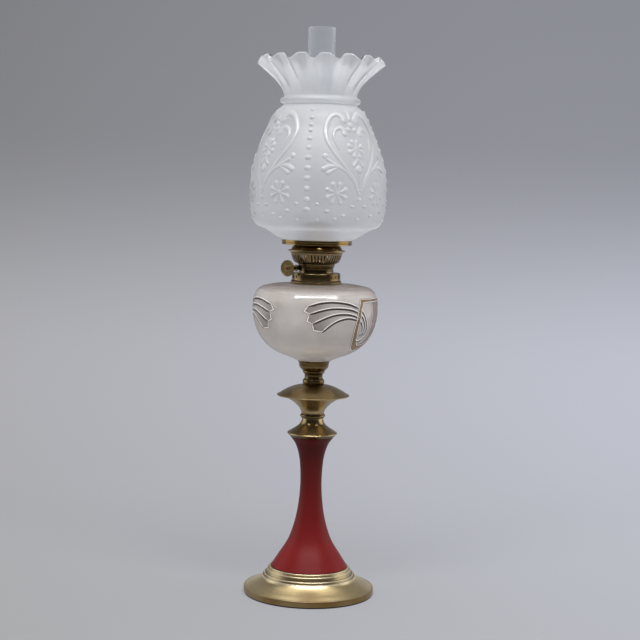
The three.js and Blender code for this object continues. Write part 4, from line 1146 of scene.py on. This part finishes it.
for angle, z, radius, tall in ((45, 504, 3.0, 0.6), (45, 493.5, 2.8, 0.7), (38.8, 485, 2.9, 0.55),
                               (30.8, 474, 2.8, 0.6), (16.8, 478.5, 2.9, 0.6),
                               (23.7, 470, 2.3, 0.6), (45, 470, 2.7, 0.6), (8.5, 487, 2.0, 0.7),
                               (8.5, 468, 2.2, 0.6)):
    knoll(angle, z, radius, 1.25, tall)
fade = np.clip((row_height - fitter_top / mm - 8) / 6, 0, 1) * np.clip((belly_top / mm - row_height - 3) / 4, 0, 1)
relief = np.minimum(relief, 1.54) * fade
for _ in range(2):
    relief[1:-1, 1:-1] = (relief[1:-1, 1:-1] * 4 + relief[:-2, 1:-1] + relief[2:, 1:-1]
                          + relief[1:-1, :-2] + relief[1:-1, 2:]) / 8
panel = np.hstack([relief[:, :-1], relief[:, :0:-1]])
relief = np.hstack([panel] * 4) * mm

columns = relief.shape[1]
bead_column = front - 9.3
angle = np.radians(bead_column) + np.arange(columns) * 2 * np.pi / columns
band_line = smooth([(neck_radius, belly_top), (neck_radius + 0.3 * mm, belly_top + 1.4 * mm),
                    (band[0] - 0.7 * mm, belly_top + 2.8 * mm),
                    (band[0], belly_top + 5.3 * mm), (band[0] - 0.8 * mm, belly_top + 7.8 * mm),
                    (neck_radius + 0.5 * mm, frill_foot - 1 * mm),
                    (neck_radius - 0.2 * mm, frill_foot)], 8)
frill_line = smooth(between((neck_radius, frill_foot), (76 * mm, frill_foot + 44 * mm),
                            [(-0.005, 0.03), (0.03, 0.12), (0.11, 0.26), (0.21, 0.38), (0.37, 0.53), (0.66, 0.755),
                             (0.985, 0.99)]), 10)
shade_wall = 2.6 * mm
foot_line = [(fitter, low.z), (fitter, fitter_top - 0.3 * mm), (43.5 * mm, fitter_top + 0.3 * mm)]
outside = np.vstack([foot_line, belly, band_line[1:], frill_line])
belly_back = shell(belly[::4], shade_wall)[len(belly[::4]):]
frill_back = shell(np.vstack([[(neck_radius, belly_top + 1 * mm)], frill_line]), shade_wall)[len(frill_line) + 1:]
lip = shell(frill_line[-4:], shade_wall)
rim_middle = (lip[3] + lip[4]) / 2
rim_rise = frill_line[-1] - frill_line[-2]
rim_round = np.array([lip[3] + rim_rise * 0.15, rim_middle + rim_rise / np.linalg.norm(rim_rise) * 0.9 * mm])
inside = np.vstack([rim_round, frill_back, belly_back[4:-6],
                    [(fitter - shade_wall, fitter_top + 2 * mm), (fitter - shade_wall, low.z)]])
outline = np.vstack([outside, inside])
outline[:, 0] = np.minimum(outline[:, 0], shade_radius)
radius = outline[:, :1] * np.ones(columns)
height = outline[:, 1:] * np.ones(columns)
slope = np.gradient(belly, axis=0)
slope /= np.linalg.norm(slope, axis=1)[:, None]
first = len(foot_line)
radius[first:first + len(belly)] += relief * slope[:, 1:]
height[first:first + len(belly)] -= relief * slope[:, :1]

# The flutes push the mouth out and down, then in and up, more and more towards the rim.
flute_count = 16
flute_turn = math.radians(-3.7)
share = np.clip((height - frill_foot) / (44 * mm), 0, 1) ** 1.3
wave = np.cos(flute_count * (angle[None, :] - flute_turn))
crisp = (0.75 - 2 * ((1 - wave) / 2) ** 2.2) * np.where(height > frill_foot, share, 0)
radius, height = radius - 2.5 * mm * crisp, height + 3.6 * mm * crisp
points = np.stack([radius * np.cos(angle), radius * np.sin(angle), height], -1).reshape(-1, 3)
row, column = np.meshgrid(np.arange(len(outline)), np.arange(columns), indexing="ij")
up, on = (row + 1) % len(outline), (column + 1) % columns
faces = np.stack([row * columns + column, row * columns + on, up * columns + on, up * columns + column],
                 -1).reshape(-1, 4)
mesh = bpy.data.meshes.new("shade_glass")
mesh.from_pydata(points.tolist(), [], faces.tolist())
marked(mesh, "frosted", np.repeat(np.arange(len(outline)) < len(outside) + 2, columns))
proud = np.zeros((len(outline), columns), np.float32)
proud[first:first + len(belly)] = relief / relief_depth
marked(mesh, "proud", proud)
mesh.shade_smooth()
mesh.set_sharp_from_angle(angle=math.radians(70))
shade = linked("shade_glass", mesh)
s = Surface("frosted_glass")
frost = s.noise(2400, 3)
clouds = s.noise(26, 5)
proud = s.node("Attribute", attribute_name="proud").outputs["Fac"]
# The relief's height sets its colour: the tops are painted whiter as a painted highlight, and the foot of each rise is
# painted darker as a painted shade.
relief_light_and_shade = s.ramp(proud, (0.0, (0.71, 0.725, 0.76)), (0.25, (0.62, 0.635, 0.665)), (0.7, (0.93, 0.935, 0.95)))
white = s.mix(s.ramp(clouds, (0.3, 0.0), (0.7, 0.25)), relief_light_and_shade, (0.77, 0.795, 0.83))
grain = s.bump(frost, 0.08 * mm, 0.4)
polished = s.ramp(proud, (0.1, 0.40), (0.7, 0.17))
etched = s.coat(white, s.math("ADD", s.math("MULTIPLY", clouds, 0.08), polished), IOR=1.6, Specular_IOR_Level=0.9,
                Normal=grain)
glow = s.node("BsdfTranslucent", {"Color": (0.93, 0.94, 0.96)}).outputs[0]
etched = s.blend(0.33, etched, glow)
through = s.node("BsdfRefraction",
                 {"Color": (0.98, 0.985, 0.99), "Roughness": 0.3, "IOR": 1.12, "Normal": grain}).outputs[0]
turned_away = s.node("LayerWeight", {"Blend": 0.5}).outputs["Facing"]
etched = s.node("MixShader", {0: s.ramp(turned_away, (0.0, 0.42), (0.55, 0.36), (0.85, 0.0)), 1: etched,
                              2: through}).outputs[0]
clear = s.node("BsdfRefraction", {"Color": (0.99, 0.99, 0.99), "Roughness": 0.03, "IOR": 1.12}).outputs[0]
skin = s.node("Attribute", attribute_name="frosted").outputs["Fac"]
body = s.blend(skin, clear, etched)
passing = s.math("MULTIPLY", s.node("LightPath").outputs["Is Shadow Ray"], 0.6)
s.done(s.blend(passing, body, s.node("BsdfTransparent").outputs[0]))
place(shade, "shade", "frosted_glass", s.material, "shade", "shade_shoulder", "shade_mouth")


# Studio. A pale paper sweep runs from under the lamp up into a wall. It glows with painted light: dim underfoot,
# palest behind the lamp, cooler and darker towards the top and a little brighter to the right.
# A large softbox hangs in front and high up, a wide one overhead, and dim reflectors stand at both sides.

view = math.radians(37.5)
toward = np.array([math.sin(view), -math.cos(view)])
across = np.array([math.cos(view), math.sin(view)])
reach = 1.866
eye = 0.5013
yaw, pitch, roll = -0.19, 4.842, 1.45


def ease(value, start, end):
    """A smooth rise from 0 at the start to 1 at the end."""
    share = np.clip((value - start) / (end - start), 0, 1)
    return share**2 * (3 - 2 * share)


ground = [(depth, -0.00005) for depth in (-3.0, -1.6, -1.2, -0.8, -0.5, -0.2, 0.1, 0.4, 0.7)]
curve = [(0.7 + 2.0 * math.sin(a), 2.0 - 2.0 * math.cos(a)) for a in np.linspace(0.03, math.pi / 2, 60)]
profile = np.array(ground + curve + [(2.7, 2.6), (2.7, 3.4)])
widths = np.linspace(-3.2, 3.2, 65)
fall = np.degrees(np.arctan2(profile[:, 1] - eye, np.maximum(profile[:, 0] + reach, 0.05)))
side = np.arctan2(widths[None, :], np.maximum(profile[:, :1] + reach, 0.3)) / math.radians(12)
side = np.clip(side, -1, 1)[..., None]
# Three tones of the lit paper by how far below the eye it lies, in degrees: dim underfoot, pale behind, dim above.
underfoot, behind, above = np.array([(0.29, 0.30, 0.325), (0.45, 0.46, 0.52), (0.195, 0.20, 0.23)])
lean = (0.16, 0.175, 0.22)
painted_tone = underfoot + (behind - underfoot) * ease(fall, -18, -6.5)[:, None] + (above - behind) * ease(fall, -6.5,
                                                                                                   2.5)[:, None]
painted_tone = painted_tone[:, None] * (1 + side * lean)
points, faces = [], []
for (depth, rise), row in zip(profile, painted_tone):
    for width in widths:
        points.append((*(across * width - toward * depth), rise))
for r in range(len(profile) - 1):
    for c in range(len(widths) - 1):
        k = r * len(widths) + c
        faces.append((k, k + 1, k + 1 + len(widths), k + len(widths)))
mesh = bpy.data.meshes.new("paper_sweep")
mesh.from_pydata(points, [], faces)
mesh.attributes.new("painted_tone", "FLOAT_COLOR", "POINT").data.foreach_set(
    "color", np.concatenate([painted_tone, np.ones((*painted_tone.shape[:2], 1))], -1).astype(np.float32).ravel())
mesh.shade_smooth()
sweep = linked("paper_sweep", mesh)
s = Surface("paper")
paper = s.coat((0.62, 0.63, 0.65), 0.9, Specular_IOR_Level=0.1, Normal=s.bump(s.noise(900, 3), 0.1 * mm, 0.2))
lit = s.coat((0.20, 0.20, 0.21), 0.95, Specular_IOR_Level=0.0)
tint = s.node("Attribute", attribute_name="painted_tone").outputs["Color"]
# Seen directly, the paper glows with this painted light; for other rays a weaker glow of it lights the lamp from
# around.
even = s.node("Emission", {"Color": tint, "Strength": 0.72}).outputs[0]
seen = s.node("AddShader", {0: even, 1: lit}).outputs[0]
paper = s.node("AddShader", {0: paper,
                             1: s.node("Emission", {"Color": tint, "Strength": 0.32}).outputs[0]}).outputs[0]
rays = s.node("LightPath").outputs
direct = s.math("MAXIMUM", s.math("MAXIMUM", rays["Is Camera Ray"], rays["Is Transmission Ray"]),
                rays["Is Glossy Ray"])
s.done(s.blend(direct, paper, seen))
mesh.materials.append(s.material)


def softbox(name, azimuth, elevation, distance, width, height, power, colour=(1, 1, 1), aim=0.35):
    """A rectangular lamp that faces the middle of the object. Azimuth counts to the right from the camera."""
    data = bpy.data.lights.new(name, "AREA")
    data.shape, data.size, data.size_y = "RECTANGLE", width, height
    data.energy, data.color = power, colour
    box = bpy.data.objects.new(name, data)
    a, e = view + math.radians(azimuth), math.radians(elevation)
    box.location = (distance * math.cos(e) * math.sin(a), -distance * math.cos(e) * math.cos(a),
                    aim + distance * math.sin(e))
    box.rotation_euler = Euler((math.pi / 2 - e, 0, a), "XYZ")
    box.visible_transmission = elevation > 45  # the low reflectors don't show through the glass
    bpy.context.scene.collection.objects.link(box)


softbox("key", 2, 57, 1.9, 2.3, 0.34, 40, (1.0, 0.985, 0.96))
softbox("overhead", 0, 89, 2.0, 2.4, 2.4, 24, aim=0.3)
softbox("reflector_left", -100, 6, 1.9, 1.5, 1.5, 9, (0.98, 0.99, 1.0))
softbox("reflector_right", 100, 6, 1.9, 1.6, 1.5, 10, (1.0, 0.99, 0.98))

world = bpy.data.worlds.new("studio")
world.use_nodes = True
sky = world.node_tree
dim = sky.nodes["Background"]
dim.inputs["Color"].default_value = (0.30, 0.31, 0.33, 1)
dim.inputs["Strength"].default_value = 0.12
pale = sky.nodes.new("ShaderNodeBackground")
pale.inputs["Color"].default_value = (0.27, 0.275, 0.30, 1)
pale.inputs["Strength"].default_value = 1.0
ray = sky.nodes.new("ShaderNodeLightPath")
looked_at = sky.nodes.new("ShaderNodeMath")
looked_at.operation = "MAXIMUM"
sky.links.new(ray.outputs["Is Camera Ray"], looked_at.inputs[0])
sky.links.new(ray.outputs["Is Transmission Ray"], looked_at.inputs[1])
blend = sky.nodes.new("ShaderNodeMixShader")
sky.links.new(looked_at.outputs[0], blend.inputs[0])
sky.links.new(dim.outputs[0], blend.inputs[1])
sky.links.new(pale.outputs[0], blend.inputs[2])
sky.links.new(blend.outputs[0], sky.nodes["World Output"].inputs["Surface"])
bpy.context.scene.world = world

camera_data = bpy.data.cameras.new("camera")
camera_data.lens, camera_data.sensor_width = 85, 36
camera = bpy.data.objects.new("camera", camera_data)
camera.matrix_world = (Matrix.Translation((*(toward * reach), eye))
                       @ Matrix.Rotation(view + math.radians(yaw), 4, "Z")
                       @ Matrix.Rotation(math.radians(90 - pitch), 4, "X")
                       @ Matrix.Rotation(math.radians(roll), 4, "Z"))
bpy.context.scene.collection.objects.link(camera)
bpy.context.scene.camera = camera
bpy.context.scene.view_settings.view_transform = "Standard"
